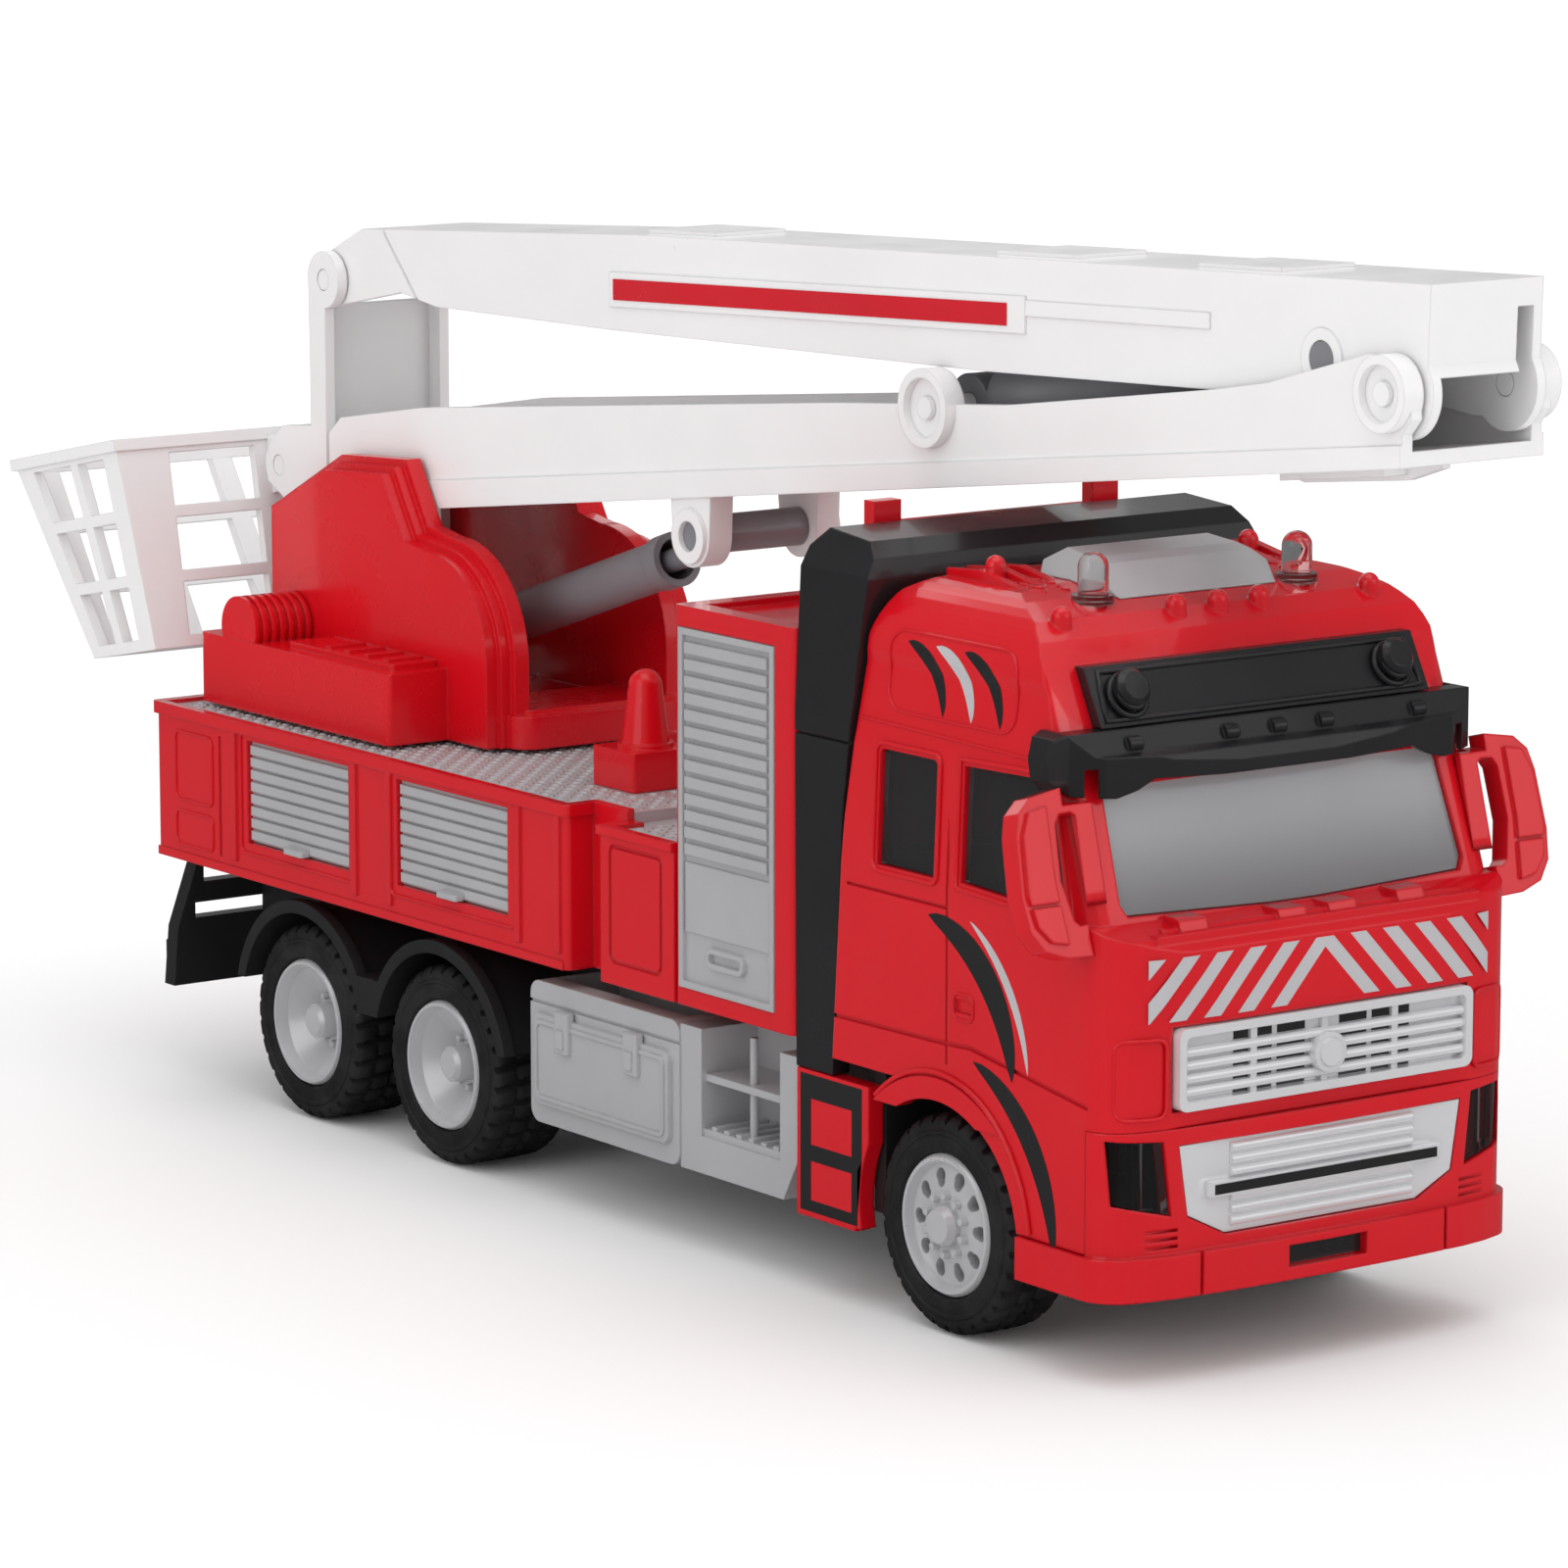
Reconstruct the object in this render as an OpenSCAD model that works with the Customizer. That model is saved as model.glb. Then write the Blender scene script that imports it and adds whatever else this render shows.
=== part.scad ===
// Toy fire engine, 1:48 class: three-axle forward-control lorry with a tall locker,
// a slewing turntable, a two-piece folding boom with two telescopic struts and a
// hanging platform basket. Millimetres, +Z up, nose towards -Y, tyres on z = 0.

/* [Cab] */
// Width over the cab side panels
cab_w = 52; // [46:0.5:58]
// Wall thickness of the cab casting
cab_wall = 1.6; // [1.2:0.1:2.4]
// Height of the roof at its rear edge
roof_z = 75.2; // [70:0.2:80]

/* [Wheels] */
// Outer radius of every tyre
tyre_r = 11.25; // [10:0.05:12.5]
// Radius of the rim under the tyre bead
rim_r = 7.24; // [6.5:0.02:8]
// Radius of the steel axle pins
axle_r = 1.25; // [1:0.05:1.6]
// Running clearance round each axle
axle_gap = 0.07; // [0.03:0.01:0.1]
// Distance from the front face to the front axle
y_axle1 = 28.7; // [26:0.1:32]
// Distance from the front face to the middle axle
y_axle2 = 120.6; // [118:0.1:124]
// Distance from the front face to the rear axle
y_axle3 = 148.9; // [146:0.1:152]
// Tread grooves round each tyre
tread_n = 26; // [16:2:36]

/* [Rear body] */
// Height of the body's lower edge
body_z0 = 26.3; // [24:0.1:29]
// Height of the deck rim
deck_z = 44.4; // [42:0.1:48]
// Rear end of the body
body_y1 = 180; // [174:0.5:186]
// Height of the tall locker
locker_z = 68.4; // [62:0.2:72]

/* [Turntable] */
// Slew axis, measured from the front face
slew_y = 151; // [149:0.5:153]
// Lower boom pivot, height
pivot_z = 70.3; // [69.5:0.1:71]
// Hub radius in the deck hole
hub_r = 6; // [5:0.1:7]

/* [Booms] */
// Half width of the lower boom
low_w = 8.7; // [8.5:0.05:9]
// Half width of the upper boom
up_w = 7; // [6.8:0.05:7.1]
// Wall thickness of both booms
boom_wall = 1.3; // [1.1:0.05:1.4]
// Pivot pin radius
pin_r = 1.5; // [1.4:0.05:1.55]
// Strut barrel bore radius, lower
bar_bore = 2.3; // [2.25:0.05:2.4]
// Strut rod radius
rod_r = 1.3; // [1.2:0.05:1.35]

/* [Basket] */
// Half width of the basket's rim
bk_w = 27.5; // [24:0.25:28]
// Depth of the basket's rim, front to back
bk_d = 24.5; // [20:0.25:26]
// Height of the basket
bk_h = 24.8; // [20:0.2:26]
// Tilt of the basket in the folded pose, degrees
bk_tilt = 11.3; // [0:0.1:15]

/* [Hidden] */
$fn = 48;
y_off = 94.17;             // moves the front face so the origin is under the middle of the whole object
hw = cab_w/2;
az = tyre_r;               // axle height
A = [158, pivot_z];        // lower boom pivot (y, z)
E = [-17.4, 97.7];         // elbow pivot
TIP = [170.3, 93.2];       // boom tip pivot
BK = [180.6, 70.6];        // basket pivot on the hanger
P1 = [158, 51.4];          // lower strut, barrel pivot
L1 = [96, 71.6];           // lower strut, rod pivot
P2 = [53.2, 89.6];         // upper strut, barrel pivot
L2 = [-6.1, 99.8];         // upper strut, rod pivot
fit = 0.06;                // running clearance of a pin
g = 0.05;                  // gap between pieces that are fixed together

module tf() { translate([0, -y_off, 0]) children(); }
module both() { children(); mirror([1, 0, 0]) children(); }
// profile in (y, z) drawn out along x
module alongx(x0, x1) { translate([x0, 0, 0]) rotate([90, 0, 90]) linear_extrude(x1 - x0) children(); }
// profile in (x, z) drawn out along y
module alongy(y0, y1) { translate([0, y1, 0]) rotate([90, 0, 0]) linear_extrude(y1 - y0) children(); }
module cx(x0, x1, y, z, r) { translate([x0, y, z]) rotate([0, 90, 0]) cylinder(h = x1 - x0, r = r); }
module cy(y0, y1, x, z, r) { translate([x, y1, z]) rotate([90, 0, 0]) cylinder(h = y1 - y0, r = r); }
module cz(z0, z1, x, y, r) { translate([x, y, z0]) cylinder(h = z1 - z0, r = r); }
module bx(x0, x1, y0, y1, z0, z1) { translate([x0, y0, z0]) cube([x1 - x0, y1 - y0, z1 - z0]); }
module rsq(x0, x1, y0, y1, r) {
  translate([x0 + r, y0]) square([x1 - x0 - 2*r, y1 - y0]);
  translate([x0, y0 + r]) square([x1 - x0, y1 - y0 - 2*r]);
  for (px = [x0 + r, x1 - r], py = [y0 + r, y1 - r]) translate([px, py]) circle(r);
}
// box with upright edges rounded
module rz(x0, x1, y0, y1, z0, z1, r) { translate([0, 0, z0]) linear_extrude(z1 - z0) rsq(x0, x1, y0, y1, r); }

// ------------------------------------------------------------------ chassis
module axle_block(y) {
  difference() {
    union() {
      bx(-12, 12, y - 3.6, y + 3.6, 9, 23);
      cx(-12, 12, y, az, 3.6);
    }
    cx(-14, 14, y, az, axle_r + axle_gap);
  }
}
module chassis_base() color([0.06, 0.06, 0.065]) tf() difference() {
  union() {
    bx(-12, 12, 7, 178, 21.5, 24.6);
    for (s = [-1, 1]) bx(s*8 - 1.2, s*8 + 1.2, 7, 176, 15.5, 22);
    for (s = [-1, 1]) bx(s*12.7 - 0.7, s*12.7 + 0.7, 100, 177.5, 16.5, 26.2);
    bx(-13.4, 13.4, 100, 177.5, 23.5, 26.2);
    for (y = [y_axle1, y_axle2, y_axle3]) axle_block(y);
    for (y = [y_axle2, y_axle3]) difference() { cy(y - 6, y + 6, 0, az + 0.4, 4.6); cx(-14, 14, y, az, axle_r + axle_gap); }
    rz(-6, 6, 9, 21, 9.5, 22, 1.5);
    for (y = [50, 76, 93]) bx(-12, 12, y - 1.2, y + 1.2, 13, 22);
    for (s = [-1, 1]) bx(s*17.9 - 5.95, s*17.9 + 5.95, 40.2, 42, 10, 24.6);
    for (s = [-1, 1]) bx(s*14.2 - 2.2, s*14.2 + 2.2, 12, 42, 22.6, 24.6);
    for (y = [42, 64, 86, 112, 170]) cz(13.5, 22, 0, y, 3.6);
    cz(13.5, 22, 0, 25 - 9.4, 3.2);
  }
  for (y = [42, 64, 86, 112, 170]) { cz(10, 26.5, 0, y, 1.15); cz(10, 15.5, 0, y, 2.3); }
  for (s = [-1, 1]) cz(8, 30, s*5.2, 170, 1.6);
}
module arch2d(r) { for (y = [y_axle2, y_axle3]) translate([y, az]) circle(r); }
module mudguards() color([0.07, 0.07, 0.075]) tf() both() {
  difference() {
    union() {
      alongx(13.5, 25.4) difference() {
        union() { arch2d(13.5); translate([132, 14.6]) square([5.4, 4.2]); }
        arch2d(12.6);
        translate([100, -5]) square([70, 19.6]);
      }
      alongx(24.4, 25.9) difference() {
        union() { arch2d(14.1); translate([132, 14.6]) square([5.4, 4.2]); }
        arch2d(12.6);
        translate([100, -5]) square([70, 19.6]);
      }
    }
    bx(0, 30, 100, 170, 26.2, 40);
  }
}
module underride_guard() color([0.06, 0.06, 0.065]) tf() {
  alongy(178.1, 180.3) difference() {
    polygon([[-21.5, 26.1], [-24.6, 17.5], [-25.2, 10.6], [25.2, 10.6], [24.6, 17.5], [21.5, 26.1]]);
    for (s = [-1, 1]) {
      translate([s*15.5 - 5.5, 22.6]) square([11, 1.9]);
      translate([s*16.8 - 5.4, 18.4]) square([10.8, 1.8]);
      translate([s*6 - 2.6, 18.4]) square([5.2, 5.4]);
    }
  }
  for (s = [-1, 1]) bx(s*11 - 1.1, s*11 + 1.1, 178.02, 178.2, 16.8, 26);
  bx(-24.4, 24.4, 180.2, 181.2, 11.2, 15.6);
}

// ------------------------------------------------------------------ wheels
module axle(y) color([0.72, 0.73, 0.75]) tf() cx(-22.8, 22.8, y, az, axle_r);
module axle_front() axle(y_axle1);
module axle_middle() axle(y_axle2);
module axle_rear() axle(y_axle3);
// wheel built on the z axis, outer face at z = 0, looking out along +z
module wheel_at(y, s) tf() translate([s*25.2, y, az]) mirror([s < 0 ? 1 : 0, 0, 0]) rotate([0, 90, 0]) children();
module rim_f() color([0.78, 0.79, 0.8]) difference() {
  union() {
    rotate_extrude() polygon([[0, -1.9], [3.1, -1.9], [6.2, -2.3], [6.2, -8], [7.24, -8], [7.24, -0.5], [6.9, 0], [6.5, 0], [6.2, -0.9], [3.4, -0.6], [0, -0.4]]);
    cylinder(h = 0.9, r1 = 2.1, r2 = 1.7);
    translate([0, 0, -0.7]) cylinder(h = 0.8, r = 2.1);
    for (a = [0:36:359]) rotate(a) translate([3, 0, -0.8]) cylinder(h = 1, r = 0.4, $fn = 16);
    translate([0, 0, -7.6]) cylinder(h = 6, r = 2.9);
  }
  for (a = [18:36:359]) rotate(a) translate([5, 0, -3]) resize_oval();
  translate([0, 0, -9]) cylinder(h = 7, r = 1.27);
}
module resize_oval() { cylinder(h = 4, r = 0.78, $fn = 24); translate([-0.55, 0, 0]) cylinder(h = 4, r = 0.6, $fn = 24); }
module rim_r_() color([0.78, 0.79, 0.8]) difference() {
  union() {
    rotate_extrude() polygon([[0, -5.2], [3.3, -5.2], [6.1, -3.2], [6.1, -11], [7.24, -11], [7.24, -0.5], [6.95, 0], [6.6, 0], [6.2, -1.4], [3.4, -4], [0, -4]]);
    translate([0, 0, -4.1]) cylinder(h = 2.8, r = 2);
    translate([0, 0, -1.35]) cylinder(h = 0.5, r1 = 2, r2 = 1.5);
    for (a = [0:36:359]) rotate(a) translate([2.9, 0, -4.1]) cylinder(h = 0.8, r = 0.4, $fn = 16);
    translate([0, 0, -10.6]) cylinder(h = 6, r = 2.9);
  }
  translate([0, 0, -12]) cylinder(h = 9.8, r = 1.27);
}
module tyre(w) color([0.035, 0.035, 0.037]) difference() {
  rotate_extrude($fn = 72) polygon([[rim_r + g, 0.05], [rim_r + 0.5, 0.45], [tyre_r - 1.5, 0.3], [tyre_r - 0.45, -0.4], [tyre_r, -1.4],
     [tyre_r, -w + 1.2], [tyre_r - 0.6, -w + 0.3], [tyre_r - 1.8, -w], [rim_r + g, -w + 0.1]]);
  for (i = [0:tread_n - 1]) rotate(i*360/tread_n) {
    translate([tyre_r - 0.75, -0.42, -w*0.4]) rotate([12, 0, 0]) cube([2, 0.85, w*0.6]);
    translate([tyre_r - 0.75, 0.42, -w - 0.5]) rotate([-12, 0, 0]) cube([2, 0.85, w*0.45]);
  }
}
module rim_front_l() wheel_at(y_axle1, 1) rim_f();
module rim_front_r() wheel_at(y_axle1, -1) rim_f();
module rim_middle_l() wheel_at(y_axle2, 1) rim_r_();
module rim_middle_r() wheel_at(y_axle2, -1) rim_r_();
module rim_rear_l() wheel_at(y_axle3, 1) rim_r_();
module rim_rear_r() wheel_at(y_axle3, -1) rim_r_();
module tyre_front_l() wheel_at(y_axle1, 1) tyre(8.4);
module tyre_front_r() wheel_at(y_axle1, -1) tyre(8.4);
module tyre_middle_l() wheel_at(y_axle2, 1) tyre(10.8);
module tyre_middle_r() wheel_at(y_axle2, -1) tyre(10.8);
module tyre_rear_l() wheel_at(y_axle3, 1) tyre(10.8);
module tyre_rear_r() wheel_at(y_axle3, -1) tyre(10.8);

// ------------------------------------------------------------------ cab
// arc of n + 1 points
function arc(c, r, a0, a1, n) = [for (i = [0:n]) [c[0] + r*cos(a0 + (a1 - a0)*i/n), c[1] + r*sin(a0 + (a1 - a0)*i/n)]];
// the same outline mirrored and walked back, to close a symmetric shape
function back(p) = [for (i = [len(p) - 1:-1:0]) [-p[i][0], p[i][1]]];
// side outline of the cab, pulled in by d
module cab_side(d, z0) polygon([[0.9 + d, z0], [0.3 + d, 34], [0.6 + d, 42.6], [1.6 + d, 44.0 + d*0.2], [4.6 + d, 45.2],
  [9.2 + d, 58], [10.6 + d, 62.4], [13.8 + d, 68.8 - d*0.3], [15.6 + d, 71.4 - d*0.6], [18 + d, 73 - d], [22, 74.3 - d], [27, 75.2 - d],
  [33, roof_z + 0.4 - d], [38 - d*0.4, roof_z - 0.1 - d], [40.4 - d*0.7, roof_z - 1.6 - d], [42 - d, 69.4 - d*0.3], [43.2 - d, 60], [44.6 - d, 50.6], [45.4 - d, 39.5], [46.4 - d, z0]]);
module cab_front(d, z0) { // outline seen from the front
  h = concat([[hw - d, z0], [hw - d, 46], [hw - 0.5 - d, 58]], arc([17.8, 67.9], 7 - d, -12, 90, 10));
  polygon(concat(h, [[0, roof_z + 0.4 - d]], back(h)));
}
module cab_plan(d) { // seen from above, bowed front
  h = concat([[hw - d, 60]], arc([hw - 4.2 - d, 5.6 + d*0.4], 4.2, 0, -68, 7), [[hw - 4.8, 1.2 + d], [hw - 8, 0.7 + d], [10, 0.2 + d]]);
  polygon(concat(h, [[0, d]], back(h)));
}
module cab_rake(d) { // rounds the windscreen pillars, raked like the screen
  h = concat([[hw + 1, 80]], [[hw + 0.4 - d, 6]], arc([hw - 3.6 - d, 4 + d], 4, 0, -90, 6));
  polygon(concat(h, back(h)));
}
module cab_form(d, z0) intersection() {
  alongx(-hw - 1, hw + 1) cab_side(d, z0);
  alongy(-5, 60) cab_front(d, z0);
  translate([0, 0, -1]) linear_extrude(90) cab_plan(d);
  union() {
    bx(-hw - 2, hw + 2, -5, 60, z0 - 1, 45.2);
    translate([0, 4.6, 45.2]) rotate([-19.8, 0, 0]) translate([0, 0, -12]) linear_extrude(70) cab_rake(d);
  }
}
module win_side(d) { // side windows, profile (y, z)
  polygon([[29.6 + d, 46.4 + d], [39 - d, 46.4 + d], [39 - d, 57.7 - d], [38.6 - d, 58.1 - d], [30 + d, 58.1 - d], [29.6 + d, 57.7 - d]]);
  polygon([[8.2 + d, 45.8 + d], [25.2 - d, 46.6 + d], [25.2 - d, 58.2 - d], [11.6 + d, 58.6 - d]]);
}
module win_front(d) polygon([[-21.9 + d, 47 + d], [-21.2 + d, 45.8 + d], [-3, 45.2 + d], [3, 45.2 + d], [21.2 - d, 45.8 + d], [21.9 - d, 47 + d], [21.2 - d, 57.8 - d], [-21.2 + d, 57.8 - d]]);
module cab_simple(d, z0) intersection() {
  alongx(-hw - 1, hw + 1) cab_side(d, z0);
  alongy(-5, 60) cab_front(d, z0);
  translate([0, 0, -1]) linear_extrude(90) cab_plan(d);
}
module windows(d) {
  alongx(-hw - 2, hw + 2) win_side(d);
  alongy(-3, 14) win_front(d);
}
module cab_shell() color([0.72, 0.03, 0.045]) tf() difference() {
  union() {
    difference() {
      cab_form(0, 25.4);
      cab_form(cab_wall, 20);
    }
    // fender in front of and over the wheel
    for (s = [-1, 1]) difference() {
      intersection() { bx(s*(hw - 0.9) - 0.9, s*(hw - 0.9) + 0.9, 5.2, 46.4, 13.1, 25.5); translate([0, 0, -1]) linear_extrude(90) cab_plan(0); }
      cx(-40, 40, y_axle1, az, 12.9);
      bx(-40, 40, y_axle1, 50, 0, 25.3);
    }
    // wiper ridge and bosses
    intersection() {
      union() {
        cx(-19, 19, 2.6, 44.2, 0.55);
        for (x = [-15.5, -3.2, 3.2, 12]) alongx(x - 1.7, x + 1.7) polygon([[1.2, 43.4], [2, 45.4], [4.4, 46], [4.8, 43.4]]);
      }
      bx(-30, 30, 0.4, 6, 42, 46.1);
    }
    // wheel arch lip
    for (s = [-1, 1]) alongx(s > 0 ? hw - 1.4 : -hw - 0.35, s > 0 ? hw + 0.35 : -hw + 1.4) difference() {
      translate([y_axle1, az]) circle(15.2);
      translate([y_axle1, az]) circle(12.9);
      translate([0, -20]) square([80, 42.4]);
      translate([0, -20]) square([y_axle1 - 12.2, 28.8]);
    }
    // roof ribs between the lamps
    for (x = [-17.5, -15, -12.5, 12.5, 15, 17.5]) alongx(x - 0.5, x + 0.5) polygon([[24, 73.4], [38.2, 73.4], [38.2, roof_z + 0.5], [33, roof_z + 0.9], [24, roof_z - 0.75]]);
    // marker lamps
    for (x = [-19.6, -5.3, 0, 5.3, 19.6]) { cz(71, 73.4, x, 17.6, 1.05); translate([x, 17.6, 73.4]) sphere(1.05, $fn = 24); }
    for (x = [-16.2, 16.2]) { cz(74, 76.4, x, 32.5, 1.05); translate([x, 32.5, 76.4]) sphere(1.05, $fn = 24); }
    // waist step under the windscreen
    bx(-20.5, 20.5, 1.2, 3.6, 43.2, 44.4);
    // floor with the screw boss
    bx(-hw + 1, hw - 1, 6, 45.5, 25.4, 27);
    cz(24.7, 29, 0, 42, 2.6);
  }
  // windows
  windows(0);
  // door and panel seams
  for (s = [-1, 1]) {
    bx(s*hw - 0.3, s*hw + 0.3, 27.2, 27.5, 28, 60);
    bx(s*hw - 0.3, s*hw + 0.3, 27.4, 44, 43.6, 43.9);
    bx(s*hw - 0.3, s*hw + 0.3, 23.2, 26, 33.6, 34.9);
  }
  // crease over the fender
  for (s = [-1, 1]) alongx(s > 0 ? hw - 0.3 : -hw - 1, s > 0 ? hw + 1 : -hw + 0.3) polygon([[47, 29.6], [27.5, 29.9], [23.5, 30.1], [4.9, 27.4], [4.9, 27.8], [23.5, 30.5], [27.5, 30.3], [47, 30]]);
  // recess for the upper grille
  bx(-18.8, 18.8, -2, 1.5, 27, 35.4);
  // screw hole
  cz(20, 27.6, 0, 42, 1.02);
  // seat for the roof unit spigot and beacons
  for (x = [-13, 13]) { cz(70, 80, x, 21, 1.25); cz(73.72, 80, x, 21, 2.14); }
}
module cab_glass() color([0.85, 0.92, 0.95, 0.35]) tf() difference() {
  union() {
    intersection() { cab_form(cab_wall + g, 20); bx(-30, 30, 0, 41, 45, 59.4); }
    intersection() { cab_form(0.55, 20); windows(0.08); }
  }
  cab_form(cab_wall + 0.9, 10);
  bx(-30, 30, 41, 60, 40, 62);
}
module seat(x) {
  rz(x - 4.6, x + 4.6, 20, 29, 37, 40.5, 1.5);
  alongx(x - 4.4, x + 4.4) polygon([[27, 39], [30, 39], [32.5, 55], [30, 55.6]]);
  alongx(x - 2.4, x + 2.4) polygon([[29.4, 55], [32, 55], [32.6, 59.6], [30.6, 60]]);
}
module cab_interior() color([0.16, 0.16, 0.17]) tf() {
  bx(-22.6, 22.6, 5, 43.6, 35.2, 36.4);
  bx(-20, 20, 38, 43, 36.3, 47);
  for (x = [-11.5, 11.5]) seat(x);
  for (x = [-11.5, 11.5]) bx(x - 3.6, x + 3.6, 20.6, 29, 36.3, 37.2);
  alongx(-20.6, 20.6) polygon([[6.8, 36.3], [12.6, 36.3], [15.4, 43.6], [14.2, 45.4], [9.6, 46], [8.4, 44.9], [6.8, 43.6]]);
  alongx(5, 18) polygon([[9.6, 45.6], [14.6, 45], [13.6, 47], [10.4, 47.2]]);
  for (s = [-1, 1]) bx(s*18 - 1.5, s*18 + 1.5, 8, 40, 27.1, 35.3);
}
module steering_wheel() color([0.08, 0.08, 0.085]) tf() translate([11.5, 17.1, 46.6]) rotate([-38, 0, 0]) {
  rotate_extrude() translate([3.1, 0]) circle(0.42, $fn = 20);
  cylinder(h = 0.8, r = 1, center = true);
  for (a = [0, 120, 240]) rotate(a + 90) translate([0, -0.35, -0.25]) cube([3, 0.7, 0.5]);
  translate([0, 0, -2.2]) cylinder(h = 2, r = 0.7);
}
module sun_visor() color([0.05, 0.05, 0.055]) tf() difference() {
  intersection() {
    union() {
      alongx(-27, 27) polygon([[6.4, 57], [6.2, 59.4], [6.8, 60.8], [7.8, 61.2], [8.9, 63.4], [13.4, 63.4], [13.4, 57]]);
      for (x = [-18, -6, 0, 6, 18]) cx(x - 0.8, x + 0.8, 8.3, 62, 0.75);
    }
    translate([0, 0, 50]) linear_extrude(20) polygon([[-26.9, 13.4], [-26.9, 10.8], [-25.4, 8.8], [-22, 7.4], [-14, 6.6], [-6, 6.3], [6, 6.3], [14, 6.6], [22, 7.4], [25.4, 8.8], [26.9, 10.8], [26.9, 13.4]]);
    alongy(0, 20) polygon([[-26.9, 60.8], [-26.6, 58.7], [-25.4, 57.4], [-20.8, 57], [-18.4, 57.6], [-16.4, 58.6], [-8, 58.3], [8, 58.3], [16.4, 58.6], [18.4, 57.6], [20.8, 57], [25.4, 57.4], [26.6, 58.7], [26.9, 60.8], [26.4, 62.8], [25.4, 63.4], [-25.4, 63.4], [-26.4, 62.8]]);
  }
  cab_simple(-g, 20);
  alongx(-24, 24) polygon([[7.7, 56], [7.7, 60], [12, 60], [12, 56]]);
}
module roof_board() color([0.05, 0.05, 0.055]) tf() difference() {
  union() {
    alongx(-20.8, 20.8) polygon([[9.6, 63.5], [12.6, 69.1], [16, 69.1], [13, 63.5]]);
    for (x = [-16.8, 16.8]) translate([x, 11.8, 66.2]) rotate([90 - 28, 0, 0]) { cylinder(h = 2.3, r = 1.9); translate([0, 0, 2.3]) cylinder(h = 0.5, r1 = 1.9, r2 = 1.4); }
  }
  cab_simple(-g, 20);
  alongx(-12.6, 12.6) polygon([[9, 64.4], [11.6, 68.3], [11.95, 68.3], [9.95, 64.4]]);
}
module roof_unit() color([0.66, 0.67, 0.68]) tf() difference() {
  intersection() {
    alongx(-12, 12) polygon([[20.2, 70], [20.2, 73.6], [24.4, 76.9], [26, 77.4], [30.2, 77.9], [32.4, 76.6], [33.4, 74.6], [33.4, 70]]);
    alongy(15, 45) polygon([[-11.4, 70], [-11.4, 75.2], [-8.3, 78.6], [8.3, 78.6], [11.4, 75.2], [11.4, 70]]);
    translate([0, 0, 60]) linear_extrude(30) polygon([[-9.7, 20], [9.7, 20], [11.5, 25], [11.5, 31.4], [9, 33.6], [-9, 33.6], [-11.5, 31.4], [-11.5, 25]]);
  }
  cab_simple(-g, 20);
}
module beacon_lenses() color([0.9, 0.95, 0.98, 0.4]) tf() for (x = [-13, 13]) {
  cz(71.6, 73.8, x, 21, 1.2);
  cz(73.75, 74.6, x, 21, 2.1);
  cz(74.5, 77.3, x, 21, 1.55);
  translate([x, 21, 77.3]) sphere(1.55, $fn = 32);
}
module upper_grille() color([0.8, 0.81, 0.82]) tf() difference() {
  union() {
    alongy(-0.2, 1.5) difference() { rsq(-18.7, 18.7, 27.1, 35.3, 1); rsq(-17.8, 17.8, 28, 34.4, 0.6); }
    bx(-18.2, 18.2, 0.9, 1.5, 27.6, 34.8);
    for (z = [28.9, 30.2, 31.5, 32.8]) cx(-17.9, 17.9, 0.55, z, 0.48);
    for (x = [-9, 0, 9]) bx(x - 0.4, x + 0.4, 0.4, 1.2, 28, 34.4);
    cy(-0.55, 1, 0, 30.9, 2);
    cy(-0.8, 0, 0, 30.9, 1.4);
  }
}
module lower_grille() color([0.74, 0.75, 0.76]) tf() {
  alongy(0.75, 1.8) polygon([[-17.9, 23.6], [-16.8, 16.6], [-12.2, 14.3], [12.2, 14.3], [16.8, 16.6], [17.9, 23.6]]);
  for (i = [0:6]) cx(-11.6, 11.6, 0.8, 15.4 + i*1.22, 0.5);
  bx(-14.6, 14.6, -0.25, 1, 18.2, 19.7);
}
module headlamp_lenses() color([0.85, 0.9, 0.95, 0.45]) tf() both() intersection() {
  alongy(-1, 5.1) polygon([[18.8, 16.9], [24.7, 18.3], [25.1, 24.5], [19.7, 24.1]]);
  difference() {
    translate([0, 0, 10]) linear_extrude(20) cab_plan(0.35);
    translate([0, 0, 9]) linear_extrude(22) cab_plan(2.1);
  }
}
module bumper() color([0.72, 0.03, 0.045]) tf() difference() {
  union() {
    intersection() {
      difference() {
        translate([0, 0, 8.5]) linear_extrude(16.85) cab_plan(0);
        translate([0, 0, 8]) linear_extrude(18) cab_plan(2.6);
      }
      bx(-hw, hw, -2, 5.15, 8, 26);
    }
    // lower lip, a little proud
    intersection() {
      difference() {
        translate([0, -0.1, 8.7]) linear_extrude(4.3) cab_plan(-0.6);
        translate([0, 0, 8]) linear_extrude(8) cab_plan(2.6);
      }
      bx(-hw - 0.8, hw + 0.8, -2, 15.4, 8, 26);
    }
    // ties back to the chassis nose
    for (s = [-1, 1]) bx(s*9 - 2, s*9 + 2, 2.2, 6.9, 20, 23.5);
  }
  // lower grille seat
  alongy(-3, 1.85) polygon([[-18, 23.7], [-16.9, 16.5], [-12.3, 14.2], [12.3, 14.2], [16.9, 16.5], [18, 23.7]]);
  // headlamp seats
  both() alongy(-3, 6) polygon([[18.7, 16.75], [24.8, 18.2], [25.2, 24.6], [19.6, 24.2]]);
  // slot, seams and a groove over the lip
  bx(-5, 5, -3, 0.5, 10, 12.2);
  for (s = [-1, 1]) bx(s*15.6 - 0.2, s*15.6 + 0.2, -3, 0.5, 8, 13.2);
  for (s = [-1, 1], i = [0:2]) bx(s*20.4 - 2.4, s*20.4 + 2.4, -3, 1.35, 13.6 + i*0.8, 13.9 + i*0.8);
}
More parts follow.
